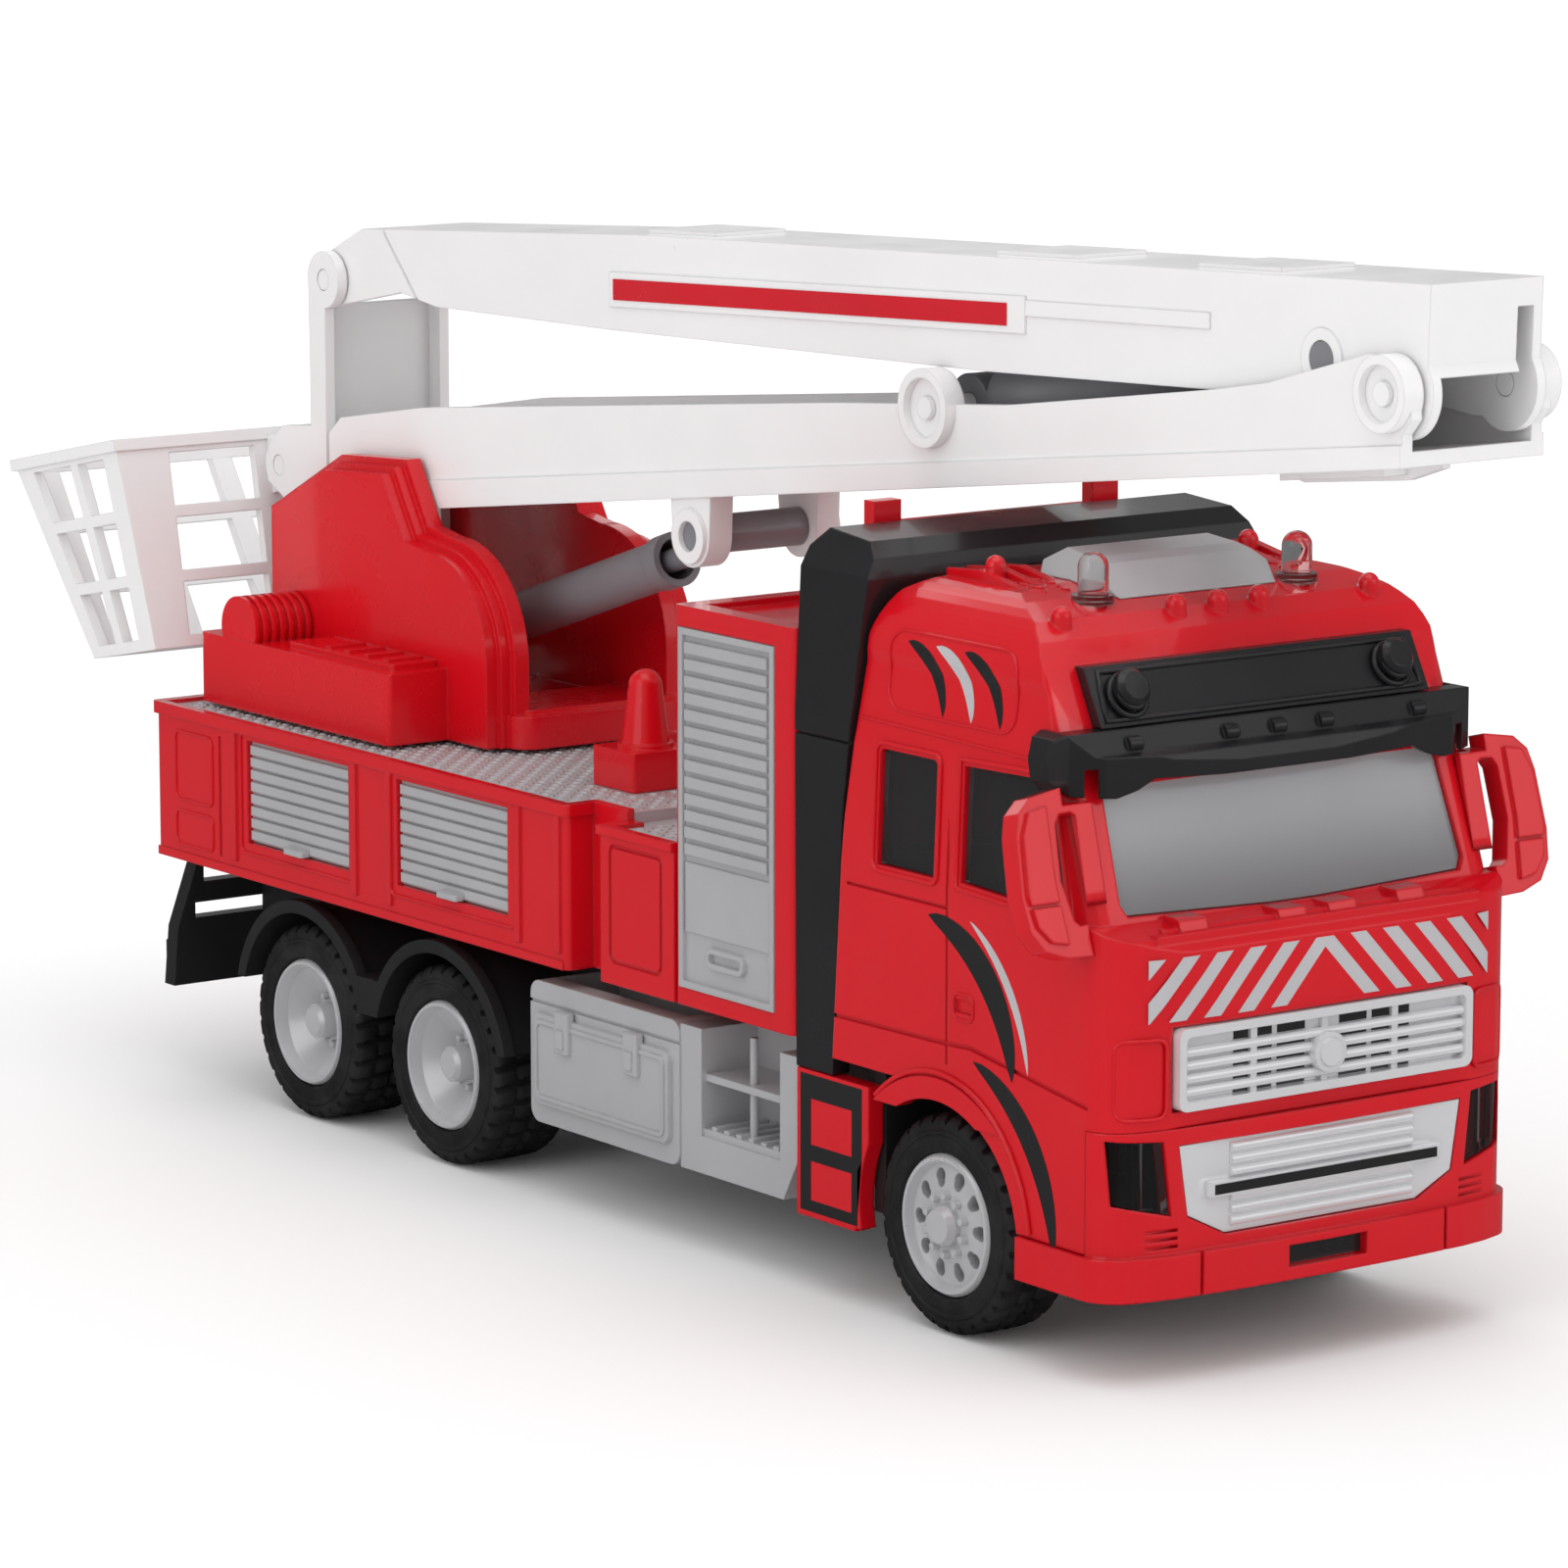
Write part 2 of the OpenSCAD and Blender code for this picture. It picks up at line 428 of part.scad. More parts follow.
module side_fairing() color([0.05, 0.05, 0.055]) tf() difference() {
  union() {
    difference() {
      intersection() {
        alongx(-25.9, 25.9) polygon([[46.8, 23.4], [45.8, 39.5], [45, 50.6], [43.6, 60], [42.4, 69.4], [41.6, 74.6], [42, 76.6], [43.8, 78.1], [51, 78.7], [53, 76.8], [53, 23.4]]);
        alongy(40, 60) polygon([[-25.7, 23.4], [-25.9, 60], [-25.2, 74.8], [-22.6, 79.3], [22.6, 79.3], [25.2, 74.8], [25.9, 60], [25.7, 23.4]]);
      }
      bx(-23.6, 23.6, 40, 60, 20, 67);
      bx(-23.6, 23.6, 44.4, 60, 60, 76.9);
    }
  }
  for (s = [-1, 1]) bx(s*25.9 - 0.35, s*25.9 + 0.35, 40, 60, 57.8, 58.1);
  cx(-30, 30, 50.2, 82.9, 3.9);
}
module mirror_arm() translate([0, 5.6, 44]) rotate([-14.5, 0, 0]) {
  alongy(-1.1, 1.3) difference() {
    polygon([[23.5, 14.6], [26.4, 14.9], [30.8, 14.2], [32.4, 12.8], [33, 10.6], [33.4, 4.6], [33, 1.4], [31.6, -0.6], [29, -1.5], [24.4, -1.7], [23.4, 0], [23.4, 10]]);
    polygon([[25.6, 12], [26.2, 12.4], [27.6, 12.3], [28.2, 11.4], [28.5, 6], [27.6, 2], [27, 1.4], [25.9, 1.5]]);
  }
  alongy(-1.5, -1) difference() {
    polygon([[29.2, 13.2], [31.4, 12.8], [32.4, 10.6], [32.8, 4.8], [32.2, 1.8], [30.8, 0.2], [28.8, -0.2], [29.4, 6]]);
    translate([26, 3.6]) square([9, 0.35]);
  }
}
module mirrors() color([0.72, 0.03, 0.045]) tf() difference() {
  both() mirror_arm();
  cab_simple(-g, 20);
  bx(-27, 27, 0, 20, 56.9, 70);
}
module wheel_skirts() color([0.72, 0.03, 0.045]) tf() both() difference() {
  bx(24, 25.9, 40.4, 52.6, 8, 23.3);
  cx(-40, 40, y_axle1, az, 13.2);
  bx(20, 30, 36, 42.6, 3, 8.4);
}

// ------------------------------------------------------------------ rear body
module rear_body() color([0.72, 0.03, 0.045]) tf() difference() {
  union() {
    // side, rear and front walls with the deck
    rz(-26, 26, 94.4, body_y1, body_z0, deck_z - 1, 0.8);
    rz(-26.4, 26.4, 94, body_y1 + 0.4, deck_z - 1.4, deck_z, 0.8);
    // narrow neck and lower deck by the locker
    bx(-22.5, 22.5, 88, 95, body_z0, deck_z);
    bx(-26, 26, 74.4, 88, body_z0, deck_z - 1.4);
    bx(-26.4, 26.4, 74.4, 88.3, deck_z - 2.2, deck_z - 1.2);
    bx(-22.5, 22.5, 74.4, 90, body_z0, deck_z - 1.2);
    for (y = [112, 170]) cz(24.7, 30, 0, y, 3.2);
    cz(24.7, 30, 0, 86, 3.2);
    // pillars either side of the shutters
    for (y = [95.5, 103.2, 129, 136.2, 162]) bx(-26.25, 26.25, y, y + 1.2, 28, 43);
    // bottom skirt line
    bx(-26.2, 26.2, 95, 179.6, body_z0, body_z0 + 1);
    // rear corner posts and step
    for (s = [-1, 1]) rz(s*19 - 5, s*19 + 5, 176, 181.2, 27, 30, 0.6);
  }
  // hollow from below
  bx(-24.2, 24.2, 96.2, 178.2, 20, deck_z - 2.9);
  bx(-20.8, 20.8, 76, 97, 20, deck_z - 4.4);
  // tray for the tread plate
  bx(-25.2, 25.2, 95.2, 178.9, deck_z - 0.95, deck_z + 1);
  bx(-21.6, 21.6, 86, 96, deck_z - 0.95, deck_z + 1);
  bx(-25.2, 25.2, 73, 86.2, deck_z - 2.15, deck_z + 1);
  bx(-21.6, 21.6, 73, 88.7, deck_z - 2.15, deck_z + 1);
  // hub hole
  cz(30, 60, 0, slew_y, hub_r + fit);
  // shutter openings
  for (y = [[105.8, 128], [138, 159.7]]) bx(-30, 30, y[0], y[1], 30.5, 42.4);
  // rear shutter opening and lamp seats
  bx(-16, 16, 176, 190, 29.4, 42.2);
  for (s = [-1, 1]) bx(s*21.5 - 2.2, s*21.5 + 2.2, 179.2, 190, 32, 41);
  // engraved locker outlines
  for (s = [-1, 1]) {
    alongx(s*26 - 0.25, s*26 + 0.25) difference() { rsq(76.6, 86.4, 28.6, 41.4, 1); rsq(77, 86, 29, 41, 0.7); }
    bx(s*26 - 0.25, s*26 + 0.25, 165.5, 166, 28, 42);
  }
  // screw pilots
  for (y = [86, 112, 170]) cz(20, 29.4, 0, y, 1.02);
}
module deck_plate() color([0.7, 0.7, 0.71]) tf() difference() {
  union() {
    bx(-25.15, 25.15, 95.25, 178.85, deck_z - 0.9, deck_z - 0.45);
    bx(-21.55, 21.55, 88.75, 95.3, deck_z - 0.9, deck_z - 0.45);
    bx(-21.55, 21.55, 86.3, 88.6, deck_z - 2.1, deck_z - 1.65);
    bx(-25.15, 25.15, 74.5, 86.15, deck_z - 2.1, deck_z - 1.65);
    bx(-21.55, 21.55, 86, 86.4, deck_z - 2.1, deck_z - 1.65);
    bx(-21.55, 21.55, 88.2, 88.65, deck_z - 2.1, deck_z - 0.45);
    bx(-21.55, 21.55, 88.3, 89, deck_z - 0.9, deck_z - 0.45);
  }
  cz(30, 60, 0, slew_y, hub_r + 1);
}
module slats(y0, y1, z0, z1, n) {
  bx(24.3, 25.3, y0, y1, z0, z1);
  for (i = [0:n - 1]) alongx(25, 25.75) translate([y0 + 0.3, z0 + 0.35 + i*(z1 - z0 - 0.5)/n]) square([y1 - y0 - 0.6, (z1 - z0 - 0.5)/n - 0.35]);
}
module side_shutters() color([0.7, 0.71, 0.72]) tf() {
  both() {
    slats(105.85, 127.95, 30.55, 42.35, 8);
    slats(138.05, 159.65, 30.55, 42.35, 8);
    for (y = [116.9, 148.8]) rz(25.5, 26.9, y - 2, y + 2, 30.7, 31.4, 0.4);
  }
  // rear shutter
  bx(-15.95, 15.95, 178.6, 179.2, 29.45, 42.15);
  for (i = [0:7]) bx(-15.5, 15.5, 179.1, 179.6, 29.9 + i*1.5, 31 + i*1.5);
  bx(-3, 3, 179.5, 180.4, 30, 30.8);
}
module tall_locker() color([0.72, 0.03, 0.045]) tf() difference() {
  union() {
    rz(-26, 26, 53.2, 74.3, body_z0, locker_z, 0.8);
    cz(24.7, 30, 0, 64, 3.2);
    for (s = [-1, 1]) bx(s*15.9 - 0.9, s*15.9 + 0.9, 53.2, 55, 60, locker_z);
  }
  bx(-24, 24, 55, 72.6, 20, locker_z - 1.8);
  // recessed top
  bx(-23.5, 23.5, 56, 72, locker_z - 0.7, locker_z + 1);
  // shutter seat
  for (s = [-1, 1]) bx(s*26 - 0.8, s*26 + 0.8, 56.4, 73.4, 28.2, 66.2);
  // slots for the boom rest feet
  for (s = [-1, 1]) bx(s*14.1 - 1.76, s*14.1 + 1.76, 53, 55.06, 66.7, locker_z + 1);
  cz(20, 29.4, 0, 64, 1.02);
}
module tall_shutters() color([0.7, 0.71, 0.72]) tf() both() {
  rz(25.25, 25.7, 56.45, 73.35, 28.25, 66.15, 0.2);
  alongx(25.6, 26.15) difference() { translate([56.45, 28.25]) square([16.9, 37.9]); translate([57.2, 29]) square([15.4, 36.4]); }
  for (i = [0:12]) bx(25.6, 26.2, 57.6, 72.2, 42.4 + i*1.76, 43.6 + i*1.76);
  bx(25.6, 25.95, 57.4, 72.4, 34.2, 41.6);
  alongx(25.6, 26.3) difference() { rsq(61.6, 68.4, 31, 33.2, 1.05); rsq(62.2, 67.8, 31.6, 32.6, 0.45); }
}
module boom_rest() color([0.72, 0.03, 0.045]) tf() {
  for (s = [-1, 1]) bx(s*14.1 - 1.7, s*14.1 + 1.7, 53.25, 55, 66.8, 80.5);
  bx(-14, 14, 53.25, 55, 76.4, 78.2);
}
module side_boxes() color([0.68, 0.69, 0.7]) tf() both() {
  // tool chest
  difference() {
    union() {
      alongx(14, 25.4) rsq(74.3, 102.4, 8.6, 24.2, 1.6);
      alongx(25.3, 26) rsq(75.6, 101.2, 10.8, 20.8, 1.2);
      alongx(25.9, 26.2) difference() { rsq(76.2, 100.6, 11.4, 20.2, 1); rsq(76.7, 100.1, 11.9, 19.7, 0.7); }
      for (y = [82, 95]) rz(25.5, 26.6, y - 1.3, y + 1.3, 17.2, 21.8, 0.3);
      for (y = [82, 95]) rz(26, 26.9, y - 0.7, y + 0.7, 17.8, 19.8, 0.25);
    }
    bx(15, 23, 76, 100.6, 10, 30);
    bx(25.1, 27, 74, 103, 21.7, 22.05);
  }
  // step frame
  difference() {
    alongx(14, 25.2) polygon([[53.4, 24], [53.4, 13.2], [56, 8.6], [74.4, 8.6], [74.4, 24]]);
    bx(18, 30, 56.6, 70.6, 12.6, 26);
  }
  bx(17.9, 24.9, 56.5, 70.7, 12.5, 13.4);
  for (i = [0:5]) bx(18.2, 24.8, 57.4 + i*2.2, 58.3 + i*2.2, 13.3, 13.8);
  cz(13.3, 24.1, 23.4, 63.6, 0.45);
  bx(17.9, 24.6, 56.5, 70.7, 18.4, 19.2);
}
module deck_manifold() color([0.72, 0.03, 0.045]) tf() {
  rz(-15.2, 15.2, 97.4, 105.4, deck_z - 0.4, 48.3, 0.4);
  for (x = [-10.9, 10.9]) {
    translate([x, 101.4, 48.2]) cylinder(h = 6.7, r1 = 2.7, r2 = 1.85);
    translate([x, 101.4, 54.9]) sphere(1.85, $fn = 32);
    cz(48.2, 48.8, x, 101.4, 3.1);
  }
  bx(-6, 6, 98.6, 104.2, 48.2, 49.1);
}
module tail_lamps() color([0.6, 0.05, 0.03]) tf() both() {
  bx(19.35, 23.65, 179.3, 180.5, 32.05, 40.95);
  for (z = [34.9, 37.9]) bx(19.5, 23.5, 180.4, 180.7, z, z + 0.3);
}

// ------------------------------------------------------------------ turntable
module tower2d(d) intersection() {
  translate([100, 44.5]) square([100, 60]);
  union() {
  polygon([[173.3 + d, 44.5], [173.3 + d, 67 + d*0.5], [161.6 + d*0.4, 72.4 + d], [149.4 - d*0.6, 73.2 + d], [144.8 - d*0.5, 66 + d], [139.5, 65.3 + d], [139.5, 44.5]]);
  translate([139.5, 53.8]) circle(11.5 + d);
  translate([128 - d, 44.5]) square([12, 9.3]);
  }
}
module turntable() color([0.72, 0.03, 0.045]) tf() difference() {
  union() {
    rz(-22, 22, 136, 176.4, 44.5, 47.4, 0.8);
    rz(-11.6, 11.6, 124.6, 150, 44.5, 48.2, 2.6);
    rz(-10.4, 10.4, 125.8, 150, 48.1, 48.7, 2);
    // side boxes
    for (s = [-1, 1]) rz(s*17.5 - 4.5, s*17.5 + 4.5, 136, 176.4, 47.3, 52.6, 0.8);
    for (s = [-1, 1]) rz(s*17 - 3.2, s*17 + 3.2, 138, 160, 52.5, 53.3, 0.6);
    for (i = [0:3]) bx(-19.4, -14.6, 140 + i*4, 141 + i*4, 53.2, 53.6);
    // towers, stepped outwards
    for (s = [-1, 1]) {
      alongx(s > 0 ? 9.3 : -11.2, s > 0 ? 11.2 : -9.3) tower2d(1.5);
      alongx(s > 0 ? 11.1 : -12.5, s > 0 ? 12.5 : -11.1) tower2d(0.7);
      alongx(s > 0 ? 12.4 : -14, s > 0 ? 14 : -12.4) tower2d(0);
    }
    // ribbed drum
    cx(-21.5, -13.9, 168, 53.9, 3.25);
    for (i = [0:6]) cx(-21.9 + i*1.16, -21.3 + i*1.16, 168, 53.9, 3.75);
    bx(-20.4, -13.9, 165.2, 170.8, 52, 53);
    // hub
    cz(40.9, 44.6, 0, slew_y, hub_r);
    difference() { cz(deck_z - 0.42, 44.6, 0, slew_y, 13); cz(40, 44.7, 0, slew_y, 9); }
  }
  // pin holes
  cx(-12.8, 12.8, A[0], A[1], pin_r + 0.01);
  cx(-12.8, 12.8, P1[0], P1[1], 1.21);
  // well under the boom
  bx(-9.3, 9.3, 137, 175, 47.4, 100);
  // screw pilot in the hub
  cz(38, 46.2, 0, slew_y, 1.3);
}
module slew_screw() color([0.7, 0.7, 0.72]) tf() difference() {
  union() {
    cz(39.6, 40.8, 0, slew_y, 8.2);
    cz(40.7, 45.8, 0, slew_y, 1.28);
    cz(38.6, 39.7, 0, slew_y, 2.4);
  }
  for (a = [0, 90]) translate([0, slew_y, 38.5]) rotate(a) cube([3, 0.6, 1.4], center = true);
}

// ------------------------------------------------------------------ lower boom
low_s = (90.85 - 68.1)/(154.5 + 19.6);            // slope of the lower boom's underside
function low_b(y) = 68.1 + (154.5 - y)*low_s;     // height of its underside
module low_side() polygon([[169, low_b(169)], [169, 75.6], [166.4, 77.6], [149, 80.4], [70, 88.5], [41, 91], [8, 95.7], [0, 97.1], [-9, 99.6], [-14, 101], [-20.6, 99.4], [-20.9, 95.5], [-19.6, 94], [-19.6, low_b(-19.6)]]);
module lower_boom() color([0.9, 0.9, 0.9]) tf() difference() {
  union() {
    difference() {
      alongx(-low_w, low_w) low_side();
      difference() {
        alongx(-low_w + boom_wall, low_w - boom_wall) polygon([[180, low_b(180) + 1.5], [180, 120], [-40, 120], [-40, low_b(-40) + 1.5]]);
      }
    }
    // thicker lower band
    for (s = [-1, 1]) alongx(s > 0 ? low_w - 0.1 : -low_w - 0.25, s > 0 ? low_w + 0.25 : -low_w + 0.1) polygon([[169, low_b(169)], [169, low_b(169) + 3.4], [-19.6, low_b(-19.6) + 2.2], [-19.6, low_b(-19.6)]]);
    // elbow cheeks and bosses
    for (s = [-1, 1]) {
      cx(s > 0 ? low_w - boom_wall : -low_w - 1.1, s > 0 ? low_w + 1.1 : -low_w + boom_wall, E[0], E[1], 3.7);
      cx(s > 0 ? low_w - boom_wall : -low_w - 1.2, s > 0 ? low_w + 1.2 : -low_w + boom_wall, P2[0], P2[1], 4.1);
    }
    // lugs for the strut
    for (s = [-1, 1]) {
      alongx(s > 0 ? 5.6 : -8.6, s > 0 ? 8.6 : -5.6) { translate(L1) circle(3.4); polygon([[L1[0] - 3.4, L1[1]], [L1[0] + 3.4, L1[1]], [L1[0] + 3.8, low_b(L1[0] + 3.8) + 0.5], [L1[0] - 3.6, low_b(L1[0] - 3.6) + 0.5]]); }
      cx(s > 0 ? 8.5 : -9.1, s > 0 ? 9.1 : -8.5, L1[0], L1[1], 3);
    }
    // thin tab and rib under the front
    alongx(-3.4, 3.4) polygon([[-11, low_b(-11) - 0.9], [4.3, low_b(4.3) - 0.9], [4.3, low_b(4.3) + 0.2], [-11, low_b(-11) + 0.2]]);
    alongx(-0.5, 0.5) polygon([[-16, low_b(-16) - 0.5], [-11, low_b(-11) - 1.5], [4, low_b(4) - 1.3], [9, low_b(9) + 0.2], [-16, low_b(-16) + 0.2]]);
    // cross webs
    for (y = [150, 120, 90]) alongx(-low_w + 0.5, low_w - 0.5) polygon([[y - 0.6, low_b(y)], [y + 0.6, low_b(y)], [y + 0.6, low_b(y) + 4.6], [y - 0.6, low_b(y) + 4.6]]);
  }
  cx(-20, 20, A[0], A[1], pin_r + fit);
  cx(-20, 20, L1[0], L1[1], 1.6 + fit);
  cx(-20, 20, E[0], E[1], 1.21);
  cx(-20, 20, P2[0], P2[1], 1.21);
  // dished faces of the bosses
  for (s = [-1, 1]) {
    cx(s > 0 ? low_w + 0.3 : -low_w - 3, s > 0 ? low_w + 3 : -low_w - 0.3, E[0], E[1], 2.75);
    cx(s > 0 ? low_w + 0.3 : -low_w - 3, s > 0 ? low_w + 3 : -low_w - 0.3, P2[0], P2[1], 3.1);
  }
}
module base_pin() color([0.75, 0.75, 0.77]) tf() cx(-12.7, 12.7, A[0], A[1], pin_r);
module elbow_pin() color([0.9, 0.9, 0.9]) tf() both() cx(5.9, low_w + 0.8, E[0], E[1], 1.2);
module upper_barrel_pin() color([0.9, 0.9, 0.9]) tf() cx(-low_w - 0.9, low_w + 0.9, P2[0], P2[1], 1.2);
module lower_barrel_pin() color([0.75, 0.75, 0.77]) tf() cx(-12.7, 12.7, P1[0], P1[1], 1.2);

// ------------------------------------------------------------------ struts
// places a strut drawn along +x so that it starts at pivot p and points at q
module strut(p, q) translate([0, p[0], p[1]]) rotate([atan2(q[1] - p[1], q[0] - p[0]), 0, 0]) rotate([0, 0, 90]) children();
module barrel_form(len, r, bore, depth, w, pr) difference() {
  union() {
    rotate([0, 90, 0]) translate([0, 0, 3]) cylinder(h = len - 3, r = r);
    rotate([0, 90, 0]) translate([0, 0, len - 2.6]) cylinder(h = 2.6, r = r + 0.35);
    rotate([90, 0, 0]) cylinder(h = 2*w, r = 3.2, center = true);
    translate([0, -w*0.8, -2]) cube([5, 1.6*w, 4]);
  }
  rotate([0, 90, 0]) translate([0, 0, len - depth]) cylinder(h = depth + 1, r = bore);
  rotate([90, 0, 0]) cylinder(h = 30, r = pr + fit, center = true);
}
module lower_barrel() color([0.33, 0.33, 0.35]) tf() strut(P1, L1) barrel_form(49.5, 2.75, bar_bore, 29, 3.4, 1.2);
module lower_rod() color([0.2, 0.2, 0.22]) tf() strut(L1, P1) {
  rotate([0, 90, 0]) cylinder(h = 36, r = rod_r);
  rotate([90, 0, 0]) cylinder(h = 11, r = 2.1, center = true);
  rotate([90, 0, 0]) cylinder(h = 17, r = 1.6, center = true);
}
module upper_barrel() color([0.33, 0.33, 0.35]) tf() strut(P2, L2) barrel_form(44, 3.8, 3.15, 30, 3.8, 1.2);
module upper_rod() color([0.2, 0.2, 0.22]) tf() strut(L2, P2) {
  rotate([0, 90, 0]) cylinder(h = 37, r = 1.25);
  rotate([90, 0, 0]) cylinder(h = 11, r = 2.2, center = true);
  rotate([90, 0, 0]) cylinder(h = 14.3, r = 1.75, center = true);
}

// ------------------------------------------------------------------ upper boom
function up_t(y) = y > 30.6 ? 106.1 - (y - 30.6)*3/75.8 : 106.1 + (30.6 - y)*2/52;  // height of its top face
module up_side() polygon([[172.4, 95.8], [164, 99.5], [106.4, 103.1], [30.6, 106.1], [-21.4, 108.1], [-21.1, 99.2], [-21, 95], [-13, 94.2], [-4, 95], [4, 95.6], [47, 93.8], [114, 92.2], [148.5, 91.8], [156, 92.8], [168, 90.5], [172, 90.5]]);
module upper_boom() color([0.92, 0.92, 0.92]) tf() difference() {
  union() {
    difference() {
      union() {
        alongx(-up_w, up_w) union() { up_side(); translate(TIP) circle(3.3); translate(E) circle(4.6); }
      }
      // inverted channel
      alongx(-up_w + boom_wall - 0.2, up_w - boom_wall + 0.2) polygon([[174, 80], [174, 93.6], [163.2, 98], [106.4, 101.8], [30.6, 104.8], [-20, 106.8], [-20, 80]]);
      // gap under the front plate
      alongx(-up_w + boom_wall - 0.2, up_w - boom_wall + 0.2) translate([-30, 80]) square([20, 19.3]);
      // slot beside the front plate, gusset crease at the tip
      bx(up_w - boom_wall - 1.8, up_w - boom_wall + 0.2, -30, -19.5, 90, 105.4);
      for (s = [-1, 1]) alongx(s > 0 ? up_w - 0.25 : -up_w - 1, s > 0 ? up_w + 1 : -up_w + 0.25) polygon([[151, 91], [151.5, 91], [161.2, 101], [160.7, 101]]);
    }
    // raised label bed and strip
    for (s = [-1, 1]) {
      alongx(s > 0 ? up_w - 0.1 : -up_w - 0.25, s > 0 ? up_w + 0.25 : -up_w + 0.1) polygon([[113.4, 94.8], [113.4, 98.6], [39.6, 102], [39.6, 98.2]]);
      alongx(s > 0 ? up_w - 0.1 : -up_w - 0.2, s > 0 ? up_w + 0.2 : -up_w + 0.1) polygon([[39.6, 100], [39.6, 101.6], [10.6, 102.8], [10.6, 101.2]]);
      cx(s > 0 ? up_w - 0.1 : -up_w - 0.22, s > 0 ? up_w + 0.22 : -up_w + 0.1, L2[0], L2[1], 3);
    }
    // pads on the top
    for (y = [[97, 109.6], [35, 47.6], [3, 15.6]]) alongx(-4.6, 4.6) polygon([[y[0], up_t(y[0]) - 1], [y[1], up_t(y[1]) - 1], [y[1], up_t(y[1]) + 0.45], [y[0], up_t(y[0]) + 0.45]]);
  }
  cx(-20, 20, TIP[0], TIP[1], 1.21);
  cx(-20, 20, E[0], E[1], 1.2 + fit);
  cx(-20, 20, L2[0], L2[1], 1.75 + fit);
}
module tip_pin() color([0.9, 0.9, 0.9]) tf() cx(-8.4, 8.4, TIP[0], TIP[1], 1.2);
module boom_labels() color([0.75, 0.03, 0.04]) tf() both() alongx(up_w + 0.28, up_w + 0.36) polygon([[112.5, 95.6], [112.5, 97.9], [42.5, 101.1], [42.5, 98.8]]);

// ------------------------------------------------------------------ hanger and basket
module hanger() color([0.9, 0.9, 0.9]) tf() difference() {
  union() {
    for (s = [-1, 1]) alongx(s > 0 ? 7.2 : -8.5, s > 0 ? 8.5 : -7.2) {
      translate(TIP) circle(3.3);
      polygon([[169.9, 58.6], [169.9, 90], [167.1, 92.5], [173.5, 93.5], [173.2, 76], [BK[0] - 1, 75.4], [BK[0] + 2, 73], [BK[0] + 2.4, 68.6], [BK[0] - 1.6, 66.6], [173.6, 66], [173.2, 58.6]]);
      translate(BK) circle(2.9);
    }
    bx(-8.5, 8.5, 172.2, 173.3, 66, 90);
  }
  cx(-20, 20, TIP[0], TIP[1], 1.2 + fit);
  cx(-20, 20, BK[0], BK[1], 1.21);
}
module basket_pin() color([0.9, 0.9, 0.9]) tf() cx(-8.4, 8.4, BK[0], BK[1], 1.2);
by0 = 19.1;  bz0 = -15.35;               // front edge of the rim, from the tip pivot, before tilting
bw1 = bk_w - 2.3;                        // half width at the floor
bd1 = bk_d - 9.9;                        // depth at the floor
module bk_tf() translate([0, TIP[0], TIP[1]]) rotate([-bk_tilt, 0, 0]) translate([0, by0, bz0]) children();
// outlines of the tapered tub pulled in by d, local frame: y 0 at the front wall, z 0 at the rim
module bk_solid(d, zt) intersection() {
  alongx(-bk_w, bk_w) polygon([[d, zt], [bk_d - d, zt], [bd1 - d, -bk_h + d], [d, -bk_h + d]]);
  alongy(-1, bk_d + 1) polygon([[-bk_w + d, zt], [-bw1 + d, -bk_h + d], [bw1 - d, -bk_h + d], [bk_w - d, zt]]);
}
module basket() color([0.92, 0.92, 0.92]) tf() difference() {
  union() {
    bk_tf() difference() {
      union() {
        bk_solid(0, 0);
        bx(-bk_w - 0.3, bk_w + 0.3, -0.3, bk_d + 0.3, -1.4, 0);
      }
      bk_solid(1.2, 0.1);
      bx(-bk_w + 1.2, bk_w - 1.2, 1.2, bk_d - 1.2, -2, 1);
      // openings: front wall
      for (s = [-1, 1], k = [0:2]) bx(s*14.6 - 5.8, s*14.6 + 5.8, -2, 3, -8.2 - k*7.6, -2 - k*7.6);
      // openings: rear wall
      for (x = [-18, -6, 6, 18], k = [0:2]) bx(x - 4.6, x + 4.6, 5, bk_d + 2, -8.2 - k*7.6, -2 - k*7.6);
      // openings: side walls, two columns of three
      for (k = [0:2]) {
        alongx(-bk_w - 2, bk_w + 2) polygon([[3.4, -2 - k*7.6], [9.6 - k*0.8, -2 - k*7.6], [8.8 - k*0.8, -8.2 - k*7.6], [3.4, -8.2 - k*7.6]]);
        alongx(-bk_w - 2, bk_w + 2) polygon([[11.4 - k*0.8, -2 - k*7.6], [20.2 - k*2.6, -2 - k*7.6], [18 - k*2.6, -8.2 - k*7.6], [10.6 - k*0.8, -8.2 - k*7.6]]);
      }
    }
    // knuckles to the hanger
    for (s = [-1, 1]) alongx(s > 0 ? 4.6 : -7, s > 0 ? 7 : -4.6) { translate(BK) circle(2.9); polygon([[BK[0], BK[1] - 2.9], [BK[0], BK[1] + 2.9], [186.2, 73.6], [185.2, 66.6]]); }
  }
  cx(-20, 20, BK[0], BK[1], 1.2 + fit);
}

// ------------------------------------------------------------------ screws
module base_screws() color([0.6, 0.6, 0.62]) tf() for (y = [42, 64, 86, 112, 170]) difference() {
  union() { cz(14, 15.4, 0, y, 2.1); cz(15.3, y == 42 ? 27.4 : 29, 0, y, 1); }
  for (a = [0, 90]) translate([0, y, 14]) rotate(a) cube([2.6, 0.5, 0.9], center = true);
}

